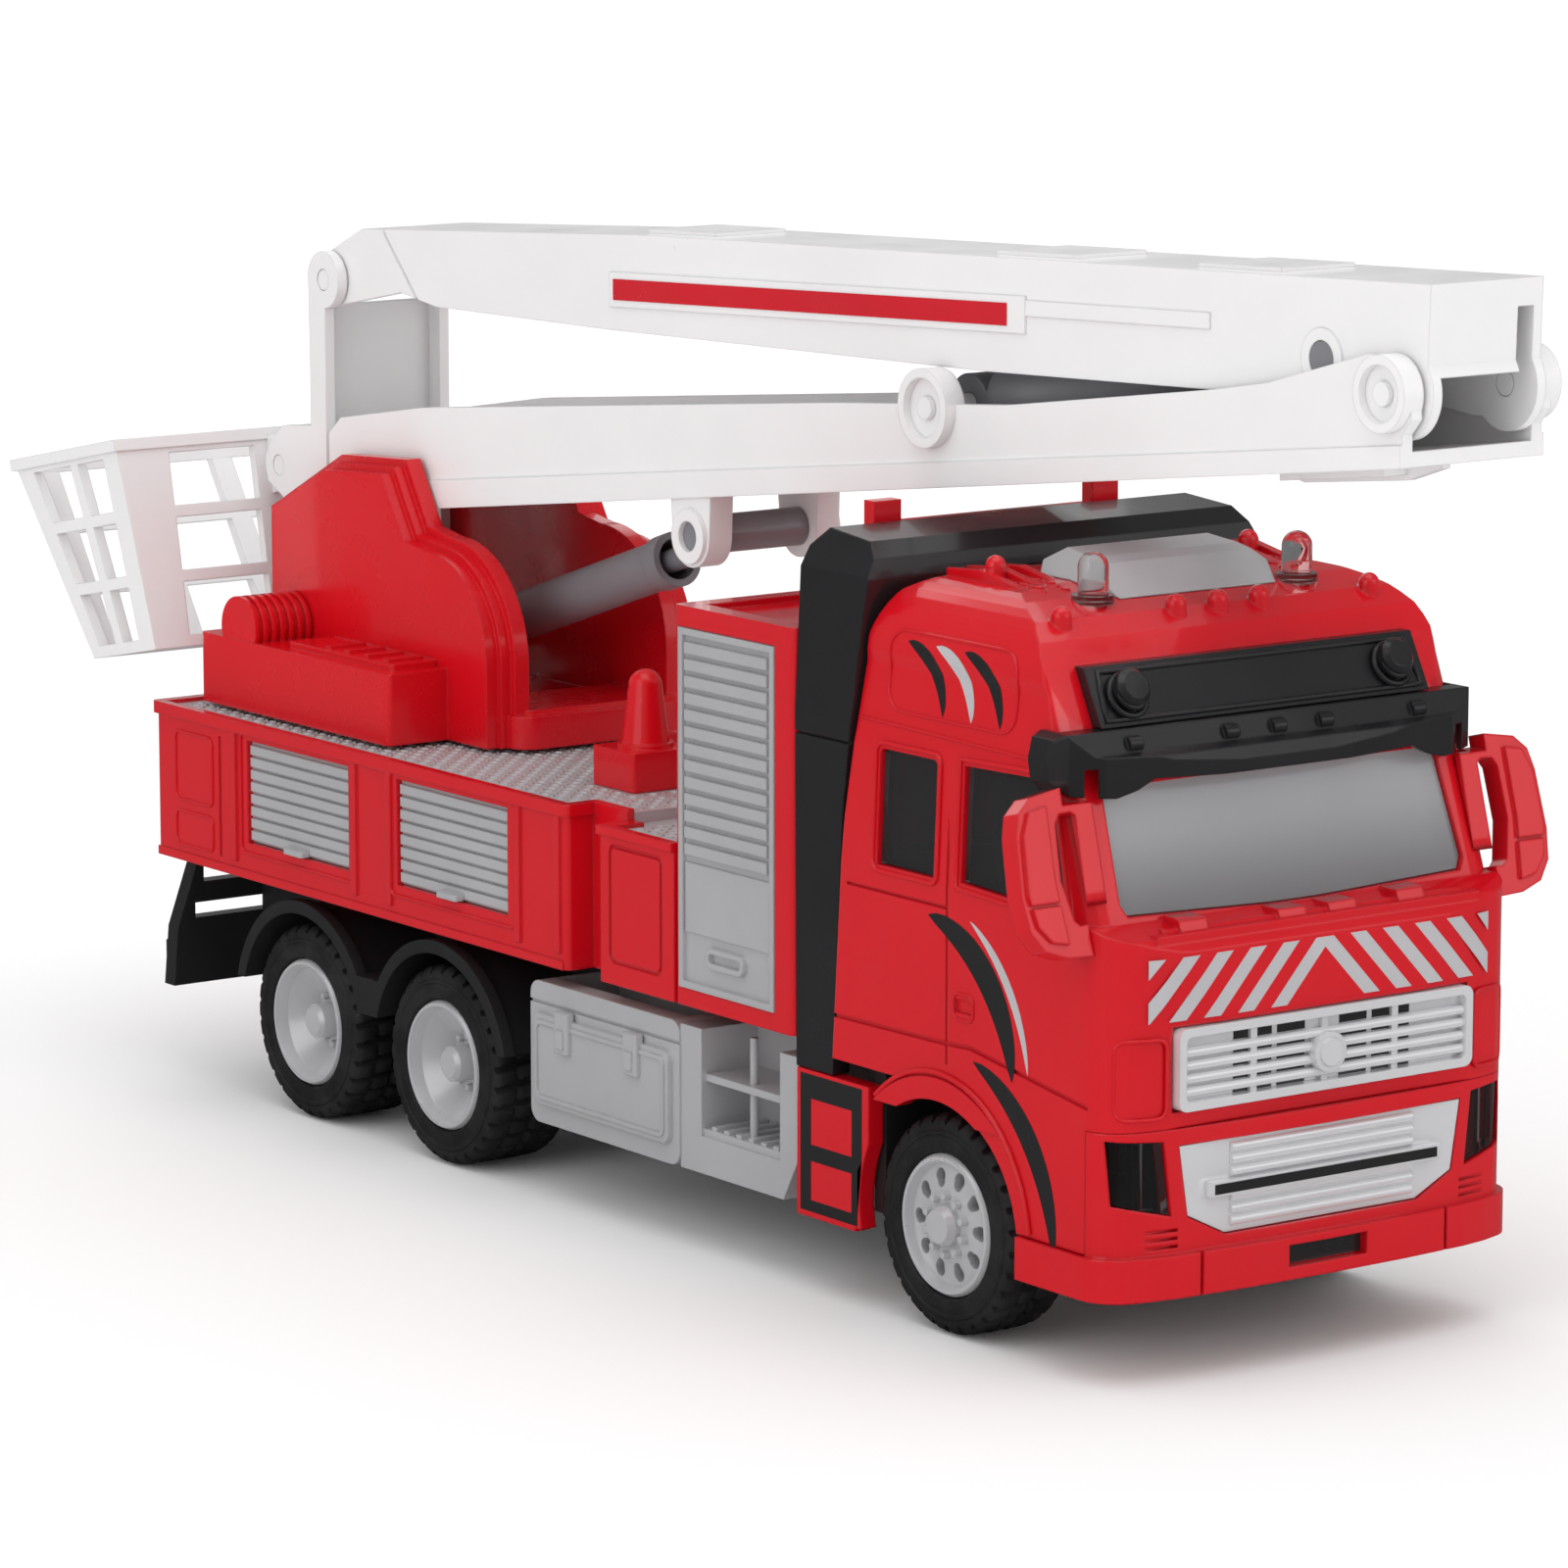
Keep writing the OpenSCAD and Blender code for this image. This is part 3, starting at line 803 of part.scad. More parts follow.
chassis_base();
mudguards();
underride_guard();
axle_front();
axle_middle();
axle_rear();
rim_front_l();
rim_front_r();
rim_middle_l();
rim_middle_r();
rim_rear_l();
rim_rear_r();
tyre_front_l();
tyre_front_r();
tyre_middle_l();
tyre_middle_r();
tyre_rear_l();
tyre_rear_r();
cab_shell();
cab_glass();
cab_interior();
steering_wheel();
sun_visor();
roof_board();
roof_unit();
beacon_lenses();
upper_grille();
lower_grille();
headlamp_lenses();
bumper();
side_fairing();
mirrors();
wheel_skirts();
rear_body();
deck_plate();
side_shutters();
tall_locker();
tall_shutters();
boom_rest();
side_boxes();
deck_manifold();
tail_lamps();
turntable();
slew_screw();
lower_boom();
upper_boom();
base_pin();
elbow_pin();
tip_pin();
basket_pin();
lower_barrel();
lower_rod();
lower_barrel_pin();
upper_barrel();
upper_rod();
upper_barrel_pin();
boom_labels();
hanger();
basket();
base_screws();
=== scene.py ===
import bpy, bmesh, math, random
from mathutils import Vector, Matrix


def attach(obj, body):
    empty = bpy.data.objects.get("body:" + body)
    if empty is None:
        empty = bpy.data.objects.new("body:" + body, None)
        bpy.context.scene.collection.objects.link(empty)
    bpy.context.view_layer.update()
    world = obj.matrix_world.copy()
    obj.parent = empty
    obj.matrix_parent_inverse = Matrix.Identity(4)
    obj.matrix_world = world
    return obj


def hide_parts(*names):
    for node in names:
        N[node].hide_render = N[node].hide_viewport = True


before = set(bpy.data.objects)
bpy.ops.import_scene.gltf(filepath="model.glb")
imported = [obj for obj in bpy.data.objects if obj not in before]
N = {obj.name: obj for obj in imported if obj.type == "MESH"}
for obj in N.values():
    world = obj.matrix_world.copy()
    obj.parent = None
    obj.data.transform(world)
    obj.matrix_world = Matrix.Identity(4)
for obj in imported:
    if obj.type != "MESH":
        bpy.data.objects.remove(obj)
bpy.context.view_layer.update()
scene = bpy.context.scene
random.seed(7)
YO = 94.17                     # the CAD's nose is at y = -YO mm
MM = 0.001


def P(x, y, z):
    return Vector((x * MM, (y - YO) * MM, z * MM))


# ------------------------------------------------------------------ materials
class G:
    """small helper round a node tree"""

    def __init__(self, name):
        self.m = bpy.data.materials.new(name)
        self.m.use_nodes = True
        self.t = self.m.node_tree
        self.t.nodes.clear()
        self.out = self.t.nodes.new("ShaderNodeOutputMaterial")
        self.b = self.t.nodes.new("ShaderNodeBsdfPrincipled")
        self.t.links.new(self.b.outputs[0], self.out.inputs[0])
        self.tc = self.t.nodes.new("ShaderNodeTexCoord")

    def n(self, kind, **k):
        o = self.t.nodes.new(kind)
        for a, v in k.items():
            setattr(o, a, v)
        return o

    def link(self, a, b):
        self.t.links.new(a, b)

    def math(self, op, a, b=None, clamp=False):
        o = self.n("ShaderNodeMath", operation=op, use_clamp=clamp)
        for i, v in enumerate((a, b)):
            if v is None:
                continue
            if isinstance(v, (int, float)):
                o.inputs[i].default_value = v
            else:
                self.link(v, o.inputs[i])
        return o.outputs[0]

    def noise(self, scale, detail=3.0, rough=0.5, w=0.0):
        o = self.n("ShaderNodeTexNoise", noise_dimensions="4D")
        o.inputs["Scale"].default_value = scale
        o.inputs["Detail"].default_value = detail
        o.inputs["Roughness"].default_value = rough
        o.inputs["W"].default_value = w
        self.link(self.tc.outputs["Object"], o.inputs["Vector"])
        return o.outputs["Fac"]

    def ramp(self, src, lo, hi, a=0.0, b=1.0):
        o = self.n("ShaderNodeMapRange")
        o.interpolation_type = "SMOOTHSTEP"
        o.inputs["From Min"].default_value = lo
        o.inputs["From Max"].default_value = hi
        o.inputs["To Min"].default_value = a
        o.inputs["To Max"].default_value = b
        self.link(src, o.inputs["Value"])
        return o.outputs["Result"]

    def mix(self, fac, a, b):
        o = self.n("ShaderNodeMix", data_type="RGBA")
        if isinstance(fac, (int, float)):
            o.inputs["Factor"].default_value = fac
        else:
            self.link(fac, o.inputs["Factor"])
        for s, v in (("A", a), ("B", b)):
            i = [x for x in o.inputs if x.name == s and x.type == "RGBA"][0]
            if isinstance(v, tuple):
                i.default_value = v
            else:
                self.link(v, i)
        return [x for x in o.outputs if x.type == "RGBA"][0]

    def bevel(self, r):
        o = self.n("ShaderNodeBevel", samples=4)
        o.inputs["Radius"].default_value = r * MM
        return o.outputs["Normal"]

    def edge(self, nrm):
        """1 on an edge, 0 on a flat, from the bevelled normal"""
        geo = self.n("ShaderNodeNewGeometry")
        d = self.n("ShaderNodeVectorMath", operation="DOT_PRODUCT")
        self.link(nrm, d.inputs[0])
        self.link(geo.outputs["Normal"], d.inputs[1])
        return self.ramp(d.outputs["Value"], 0.995, 0.9)

    def bump(self, h, strength, dist, nrm=None):
        o = self.n("ShaderNodeBump")
        o.inputs["Strength"].default_value = strength
        o.inputs["Distance"].default_value = dist * MM
        self.link(h, o.inputs["Height"])
        if nrm is not None:
            self.link(nrm, o.inputs["Normal"])
        return o.outputs["Normal"]


def srgb(r, g, b):
    f = lambda c: (c / 255 / 12.92) if c <= 10 else ((c / 255 + 0.055) / 1.055) ** 2.4
    return (f(r), f(g), f(b), 1.0)


def paint(name, col, rough=0.28, coat=0.6, metal=0.0, bevel=0.3, peel=0.03, dust=0.25, edge_mix=0.25, edge_col=None, vary=0.06, flakes=0.0, sss=0.0, spec=0.5):
    g = G(name)
    nb = g.bevel(bevel) if bevel else None
    dark = tuple(c * (1 - vary * 2) for c in col[:3]) + (1,)
    light = tuple(min(1, c * (1 + vary)) for c in col[:3]) + (1,)
    c = g.mix(g.ramp(g.noise(45, 4, 0.6, 1.3), 0.3, 0.7), dark, light)
    if nb is not None and edge_mix:
        ec = edge_col or tuple(min(1, x * 1.35 + 0.02) for x in col[:3]) + (1,)
        wear = g.math("MULTIPLY", g.edge(nb), g.ramp(g.noise(260, 3, 0.6, 4.0), 0.45, 0.75))
        c = g.mix(g.math("MULTIPLY", wear, edge_mix), c, ec)
    if dust:
        d = g.math("MULTIPLY", g.ramp(g.noise(2600, 2, 0.5, 7.7), 0.79, 0.83), g.ramp(g.noise(160, 2, 0.5, 2.0), 0.52, 0.7))
        c = g.mix(g.math("MULTIPLY", d, dust), c, (0.8, 0.8, 0.8, 1))
    g.link(c, g.b.inputs["Base Color"])
    g.b.inputs["Metallic"].default_value = metal
    g.link(g.ramp(g.noise(120, 4, 0.6, 5.5), 0.25, 0.75, rough * 0.85, rough * 1.2), g.b.inputs["Roughness"])
    g.b.inputs["Coat Weight"].default_value = coat
    g.b.inputs["Coat Roughness"].default_value = 0.06
    g.b.inputs["Specular IOR Level"].default_value = spec
    if sss:
        g.b.inputs["Subsurface Weight"].default_value = sss
        g.b.inputs["Subsurface Radius"].default_value = (0.002, 0.0015, 0.0012)
        g.b.inputs["Subsurface Scale"].default_value = 0.5
    h = g.noise(700, 3, 0.55, 0.4)
    if flakes:
        v = g.n("ShaderNodeTexVoronoi")
        v.inputs["Scale"].default_value = 6500
        g.link(g.tc.outputs["Object"], v.inputs["Vector"])
        h = g.math("ADD", h, g.math("MULTIPLY", v.outputs["Distance"], flakes))
    g.link(g.bump(h, 1.0, peel, nb), g.b.inputs["Normal"])
    if coat and nb is not None:
        g.link(nb, g.b.inputs["Coat Normal"])
    return g


RED = srgb(206, 12, 28)
M = {}
M["red"] = paint("red_enamel", RED, rough=0.22, coat=0.8, bevel=0.35, peel=0.004, dust=0.2, vary=0.02, edge_mix=0.08, spec=0.3).m
M["redp"] = paint("red_plastic", srgb(212, 10, 26), rough=0.26, coat=0.4, bevel=0.3, peel=0.003, dust=0.05, vary=0.012, edge_mix=0.05, spec=0.35).m
M["white"] = paint("white_plastic", (0.83, 0.82, 0.825, 1), rough=0.32, coat=0.15, bevel=0.25, peel=0.004, dust=0.0, vary=0.012, edge_mix=0.0, sss=0.08).m
M["black"] = paint("black_plastic", (0.012, 0.012, 0.014, 1), rough=0.3, coat=0.3, bevel=0.3, peel=0.012, dust=0.5, vary=0.1, edge_mix=0.35, edge_col=(0.06, 0.06, 0.065, 1)).m
M["base"] = paint("base_plastic", (0.016, 0.016, 0.018, 1), rough=0.48, coat=0.0, bevel=0.25, peel=0.05, dust=0.4, vary=0.12, edge_mix=0.3, edge_col=(0.06, 0.06, 0.065, 1)).m
M["silver"] = paint("silver_paint", (0.55, 0.55, 0.565, 1), rough=0.34, coat=0.2, metal=0.35, bevel=0.25, peel=0.02, dust=0.0, vary=0.03, edge_mix=0.3, edge_col=(0.82, 0.82, 0.83, 1), flakes=0.5).m
M["rim"] = paint("rim_silver", (0.60, 0.60, 0.615, 1), rough=0.3, coat=0.2, metal=0.35, bevel=0.2, peel=0.012, dust=0.0, vary=0.03, edge_mix=0.3, edge_col=(0.85, 0.85, 0.86, 1), flakes=0.3).m
M["chrome"] = paint("chrome_trim", (0.80, 0.80, 0.82, 1), rough=0.2, coat=0.4, metal=0.35, bevel=0.15, peel=0.004, dust=0.0, vary=0.02, edge_mix=0.0).m
M["steel"] = paint("steel_pin", (0.62, 0.62, 0.64, 1), rough=0.3, coat=0.0, metal=1.0, bevel=0.15, peel=0.01, dust=0.0, vary=0.05, edge_mix=0.1).m
M["grey"] = paint("grey_strut", (0.26, 0.26, 0.28, 1), rough=0.34, coat=0.15, metal=0.2, bevel=0.2, peel=0.015, dust=0.1, vary=0.05, edge_mix=0.3, edge_col=(0.4, 0.4, 0.42, 1), flakes=0.4).m
M["inside"] = paint("interior_black", (0.03, 0.03, 0.032, 1), rough=0.5, coat=0.0, bevel=0.3, peel=0.03, dust=0.1, vary=0.1, edge_mix=0.2).m
M["label"] = paint("label_red", srgb(205, 14, 34), rough=0.24, coat=0.5, bevel=0.0, peel=0.002, dust=0.1, vary=0.02, edge_mix=0.0).m


def rubber():
    g = G("tyre_rubber")
    nb = g.bevel(0.2)
    c = g.mix(g.ramp(g.noise(180, 5, 0.65, 2.2), 0.35, 0.7), (0.010, 0.010, 0.011, 1), (0.022, 0.022, 0.023, 1))
    d = g.math("MULTIPLY", g.ramp(g.noise(2200, 2, 0.5, 3.1), 0.72, 0.8), 0.35)
    c = g.mix(d, c, (0.25, 0.25, 0.25, 1))
    g.link(c, g.b.inputs["Base Color"])
    g.link(g.ramp(g.noise(300, 4, 0.6, 1.0), 0.3, 0.7, 0.5, 0.72), g.b.inputs["Roughness"])
    g.b.inputs["Specular IOR Level"].default_value = 0.4
    g.link(g.bump(g.noise(2400, 3, 0.6, 0.0), 1.0, 0.03, nb), g.b.inputs["Normal"])
    return g.m


def clear(name, tint, rough=0.03, ior=1.47, alpha=1.0):
    g = G(name)
    g.link(g.mix(g.ramp(g.noise(60, 3, 0.5, 1.0), 0.3, 0.7), tint, tuple(c * 0.97 for c in tint[:3]) + (1,)), g.b.inputs["Base Color"])
    g.b.inputs["Transmission Weight"].default_value = 1.0
    g.b.inputs["IOR"].default_value = ior
    g.link(g.ramp(g.noise(220, 4, 0.6, 0.5), 0.3, 0.7, rough * 0.6, rough * 1.6), g.b.inputs["Roughness"])
    g.link(g.bump(g.noise(500, 2, 0.5, 0.0), 1.0, 0.006, g.bevel(0.12)), g.b.inputs["Normal"])
    return g.m


M["rubber"] = rubber()


def window():
    g = G("window_painted_sheen")
    geo = g.n("ShaderNodeNewGeometry")
    sep = g.n("ShaderNodeSeparateXYZ")
    g.link(geo.outputs["Normal"], sep.inputs[0])
    # painted reflection: glass that faces the front (-Y) gets a lighter, milkier colour and less transmission than the
    # side windows, standing in for sky and lamps reflected in the windscreen
    front = g.ramp(g.math("MULTIPLY", sep.outputs["Y"], -1.0), 0.45, 0.8)
    pos = g.n("ShaderNodeSeparateXYZ")
    g.link(geo.outputs["Position"], pos.inputs[0])
    # painted reflection: on the front glass the colour runs from dark grey at the bottom to light grey at the top (z
    # 45.5 to 57 mm)
    sheen_height_mask = g.ramp(pos.outputs["Z"], 0.0455, 0.057)
    col = g.mix(sheen_height_mask, (0.30, 0.30, 0.315, 1), (0.66, 0.66, 0.68, 1))
    col = g.mix(front, (0.34, 0.35, 0.37, 1), col)
    g.link(col, g.b.inputs["Base Color"])
    # the front glass lets less light through so the painted sheen reads as a milky reflection; the side windows stay
    # dark and clear
    g.link(g.ramp(front, 0.0, 1.0, 0.96, 0.5), g.b.inputs["Transmission Weight"])
    g.b.inputs["IOR"].default_value = 1.45
    g.link(g.ramp(g.noise(220, 4, 0.6, 0.5), 0.3, 0.7, 0.03, 0.08), g.b.inputs["Roughness"])
    g.link(g.bump(g.noise(500, 2, 0.5, 0.0), 1.0, 0.004, g.bevel(0.12)), g.b.inputs["Normal"])
    return g.m


M["glass"] = window()
M["beacon"] = clear("beacon_clear", (0.97, 0.97, 0.97, 1), rough=0.05)
M["lens"] = clear("headlamp_clear", (0.62, 0.64, 0.68, 1), rough=0.04)

PAINTS = {
    "red": ["cab_shell", "bumper", "wheel_skirts", "rear_body", "tall_locker", "mirrors"],
    "redp": ["turntable", "boom_rest", "deck_manifold", "tail_lamps"],
    "white": ["lower_boom", "upper_boom", "hanger", "basket", "elbow_pin", "tip_pin", "basket_pin", "upper_barrel_pin"],
    "black": ["sun_visor", "roof_board", "side_fairing"],
    "base": ["chassis_base", "mudguards", "underride_guard"],
    "silver": ["deck_plate", "side_shutters", "tall_shutters", "side_boxes", "roof_unit"],
    "rim": [n for n in N if n.startswith("rim_")],
    "rubber": [n for n in N if n.startswith("tyre_")],
    "chrome": ["upper_grille", "lower_grille"],
    "steel": ["axle_front", "axle_middle", "axle_rear", "base_pin", "lower_barrel_pin", "slew_screw", "base_screws"],
    "grey": ["lower_barrel", "lower_rod", "upper_barrel", "upper_rod"],
    "inside": ["cab_interior", "steering_wheel"],
    "glass": ["cab_glass"], "beacon": ["beacon_lenses"], "lens": ["headlamp_lenses"], "label": ["boom_labels"],
}
for k, names in PAINTS.items():
    for n in names:
        o = N[n]
        o.data.materials.clear()
        o.data.materials.append(M[k])


# ------------------------------------------------------------------ piece helpers
def mesh_obj(name, verts, faces, mat, body, smooth=None):
    me = bpy.data.meshes.new(name)
    me.from_pydata([tuple(v) for v in verts], [], faces)
    me.update()
    bm = bmesh.new()
    bm.from_mesh(me)
    bmesh.ops.recalc_face_normals(bm, faces=bm.faces)
    bm.to_mesh(me)
    bm.free()
    me.materials.append(mat)
    if smooth is not None:
        for p in me.polygons:
            p.use_smooth = True
        me.set_sharp_from_angle(angle=math.radians(smooth))
    o = bpy.data.objects.new(name, me)
    scene.collection.objects.link(o)
    if body:
        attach(o, body)
    return o



# ------------------------------------------------------------------ tyres with a moulded block tread
def tyre_mesh(name, w, nb):
    prof = [(7.30, -w + 0.55), (7.32, -w + 0.15), (7.9, -w + 0.02), (9.0, -w - 0.0), (9.9, -w + 0.1), (10.55, -w + 0.3), (10.95, -w + 0.75)]
    steps = 14
    for i in range(steps + 1):
        prof.append((11.2 - 0.12 * (2 * i / steps - 1) ** 4, -w + 1.0 + (w - 2.0) * i / steps))
    prof += [(10.95, -0.72), (10.55, -0.3), (10.1, -0.16), (9.62, -0.2), (9.5, -0.05), (9.2, -0.02), (9.06, -0.16), (8.3, -0.12), (7.9, -0.04), (7.55, -0.06), (7.4, -0.25), (7.30, -0.75)]
    nt = 420
    verts, faces = [], []
    xc, hwid = -w / 2, (w - 2.0) / 2
    for t in range(nt):
        a = 2 * math.pi * t / nt
        for r, x in prof:
            u = (x - xc) / hwid
            if r > 10.9:
                ph = (a * nb / (2 * math.pi) + 0.42 * abs(u)) % 1.0
                d = 0.0
                if abs(u) > 0.1:
                    e = min(ph, 1 - ph)
                    d = max(0.0, min(1.0, (0.17 - e) / 0.06)) * 0.62
                ph2 = (a * nb / (2 * math.pi) + (0.5 if u > 0 else 0)) % 1.0
                zz = abs(u - 0.10 * (1 if ph2 < 0.5 else -1) * 0.5)
                if zz < 0.055:
                    d = max(d, 0.55)
                if 0.50 < abs(u) < 0.60 and abs(ph - 0.5) < 0.5:
                    d = max(d, 0.3)
                r = r - d
            elif r > 10.4:
                ph = (a * nb / (2 * math.pi) + 0.42) % 1.0
                e = min(ph, 1 - ph)
                r = r - max(0.0, min(1.0, (0.15 - e) / 0.06)) * 0.28
            verts.append((x * MM, r * MM * math.cos(a), r * MM * math.sin(a)))
    k = len(prof)
    for t in range(nt):
        t2 = (t + 1) % nt
        for i in range(k):
            i2 = (i + 1) % k
            faces.append((t * k + i, t2 * k + i, t2 * k + i2, t * k + i2))
    me = bpy.data.meshes.new(name)
    me.from_pydata(verts, [], faces)
    bm = bmesh.new()
    bm.from_mesh(me)
    bmesh.ops.recalc_face_normals(bm, faces=bm.faces)
    bm.to_mesh(me)
    bm.free()
    for p in me.polygons:
        p.use_smooth = True
    me.set_sharp_from_angle(angle=math.radians(35))
    me.materials.append(M["rubber"])
    return me


TY = {"front": (28.7, 8.3, 30), "middle": (120.6, 10.7, 30), "rear": (148.9, 10.7, 30)}
for k, (y, w, nb) in TY.items():
    me = tyre_mesh("tyre_mesh_" + k, w, nb)
    for s, side in ((1, "l"), (-1, "r")):
        o = bpy.data.objects.new("rubber_tyre_%s_%s" % (k, side), me.copy())
        scene.collection.objects.link(o)
        p = P(s * 25.2, y, 11.25)
        mat = Matrix.Translation(p) @ (Matrix.Identity(4) if s > 0 else Matrix.Rotation(math.pi, 4, "Z"))
        o.data.transform(mat)
        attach(o, k + "_wheelset")
        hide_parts("tyre_%s_%s" % (k, side))


# ------------------------------------------------------------------ thin printed and raised pieces that follow a surface
def side_x(y, z):
    pts = [(0, 26.0), (46, 26.0), (58, 25.5), (66.45, 24.65)]
    for (z0, a), (z1, b) in zip(pts, pts[1:]):
        if z <= z1:
            return a + (b - a) * (z - z0) / (z1 - z0)
    return 17.8 + math.sqrt(max(0.0, 49 - (z - 67.9) ** 2))


def front_y(x, z):
    x = abs(x)
    pl = [(0, 0), (10, 0.2), (20, 0.7), (23.4, 1.5), (25.3, 3.2), (26, 6.2)]
    py = 6.2
    for (a, p), (b, q) in zip(pl, pl[1:]):
        if x <= b:
            py = p + (q - p) * (x - a) / (b - a)
            break
    sy = 0.3 + 0.3 * max(0, min(1, (z - 34) / 8.6))
    return max(py, sy)


def sheet(name, polys, place, mat, body, t=0.05, cuts=1.5):
    """polys: outlines (u, v) in mm; place(u, v, lift) gives a point in mm; the sheet is lifted t mm off the surface"""
    bm = bmesh.new()
    for poly in polys:
        vs = [bm.verts.new((u, v, 0)) for u, v in poly]
        bm.faces.new(vs)
    bmesh.ops.triangulate(bm, faces=bm.faces)
    for _ in range(6):
        long = [e for e in bm.edges if e.calc_length() > cuts]
        if not long:
            break
        bmesh.ops.subdivide_edges(bm, edges=long, cuts=1, use_grid_fill=False)
        bmesh.ops.triangulate(bm, faces=[f for f in bm.faces if len(f.verts) > 3])
    bmesh.ops.remove_doubles(bm, verts=bm.verts, dist=1e-5)
    top = {v: Vector((v.co.x, v.co.y)) for v in bm.verts}
    idx = {v: i for i, v in enumerate(bm.verts)}
    n = len(bm.verts)
    verts = [P(*place(c.x, c.y, t)) for c in top.values()] + [P(*place(c.x, c.y, -0.08)) for c in top.values()]
    faces = [tuple(idx[v] for v in f.verts) for f in bm.faces] + [tuple(idx[v] + n for v in reversed(f.verts)) for f in bm.faces]
    for e in bm.edges:
        if len(e.link_faces) == 1:
            a, b = idx[e.verts[0]], idx[e.verts[1]]
            faces.append((a, b, b + n, a + n))
    bm.free()
    return mesh_obj(name, verts, faces, mat, body)


def on_side(s):
    return lambda u, v, t: (s * (side_x(u, v) + t), u, v)


def on_front(u, v, t):
    return (u, front_y(u, v) - t, v)


def flat_side(s, x):
    return lambda u, v, t: (s * (x + t), u, v)


def print_mat(name, col, rough=0.3, metal=0.0):
    return paint(name, col, rough=rough, coat=0.4, metal=metal, bevel=0.0, peel=0.003, dust=0.25, vary=0.03, edge_mix=0.0).m


INK_B = print_mat("print_black", (0.012, 0.012, 0.013, 1))
INK_W = print_mat("print_silver", (0.60, 0.585, 0.605, 1), rough=0.35, metal=0.25)
INK_R = M["red"]


def clip_band(poly, z0, z1, x0, x1):
    def cut(poly, f, g):
        out = []
        for i, a in enumerate(poly):
            b = poly[(i + 1) % len(poly)]
            fa, fb = f(a), f(b)
            if fa >= 0:
                out.append(a)
            if fa * fb < 0:
                t = fa / (fa - fb)
                out.append((a[0] + t * (b[0] - a[0]), a[1] + t * (b[1] - a[1])))
        return out
    for f in (lambda p: p[1] - z0, lambda p: z1 - p[1], lambda p: p[0] - x0, lambda p: x1 - p[0]):
        poly = cut(poly, f, None)
        if len(poly) < 3:
            return None
    return poly


stripes = []
for k in range(6):
    b = 1.6 + k * 4.15
    q = [(-b - 5.6, 35.7), (-b - 3.6, 35.7), (-b + 2.6, 42.3), (-b + 0.6, 42.3)]
    for s in (1, -1):
        p = clip_band([(s * x, z) for x, z in q], 36.0, 42.2, -21.6, 0 if s == 1 else -21.6) if False else clip_band([(s * x, z) for x, z in q], 36.0, 42.2, -21.6 if s == 1 else 0.0, 0.0 if s == 1 else 21.6)
        if p:
            stripes.append(p)
sheet("front_stripes", stripes, on_front, INK_W, "truck", t=0.03)


def arc_band(c, r0, r1, a0, a1, n=18, taper=0.0):
    """band between two radii, narrowing to a point at its ends"""
    out, inn = [], []
    for i in range(n + 1):
        f = i / n
        a = math.radians(a0 + (a1 - a0) * f)
        h = math.sin(math.pi * min(1, max(0, f))) ** 0.6 if taper else 1
        m = (r0 + r1) / 2
        hw_ = (r1 - r0) / 2 * max(h, 0.04)
        out.append((c[0] + (m + hw_) * math.cos(a), c[1] + (m + hw_) * math.sin(a)))
        inn.append((c[0] + (m - hw_) * math.cos(a), c[1] + (m - hw_) * math.sin(a)))
    return out + inn[::-1]


for s, side in ((1, "l"), (-1, "r")):
    pl = on_side(s)
    # plain slanted bars on the roof side panel
    bars = []
    for i in range(3):
        c0 = (36.5 - 4.6 * i, 62.2)
        bars.append(arc_band(c0, 6.3, 7.9, 98, 178, n=14, taper=1))
    sheet("panel_bars_black_" + side, [bars[0], bars[2]], pl, INK_B, "truck", t=0.03)
    sheet("panel_bar_silver_" + side, [bars[1]], pl, INK_W, "truck", t=0.03)
    # swept band over the wheel arch and a plain band on the door
    sheet("arch_band_" + side, [arc_band((28.7, 11.25), 17.4, 20.0, 108, 178, taper=1)], pl, INK_B, "truck", t=0.03)
    sheet("door_band_black_" + side, [arc_band((32.5, 27.0), 14.2, 17.4, 98, 176, taper=1)], pl, INK_B, "truck", t=0.03)
    sheet("door_band_silver_" + side, [arc_band((33.0, 26.6), 18.4, 19.5, 120, 172, taper=1)], pl, INK_W, "truck", t=0.03)
    # black frame with two red windows behind the front wheel
    fx = flat_side(s, 25.9)
    fr = [[(42.2, 8.6), (52.0, 8.6), (52.0, 9.8), (42.2, 9.8)], [(41.5, 20.4), (52.0, 20.4), (52.0, 22.9), (41.5, 22.9)],
          [(42.2, 9.8), (43.2, 9.8), (43.2, 20.4), (41.5, 20.4), (41.5, 15.4), (42.2, 14.4)],
          [(50.2, 9.8), (52.0, 9.8), (52.0, 20.4), (50.2, 20.4)], [(43.2, 13.9), (50.2, 13.9), (50.2, 15.6), (43.2, 15.6)]]
    sheet("skirt_frame_" + side, fr, fx, INK_B, "truck", t=0.03)


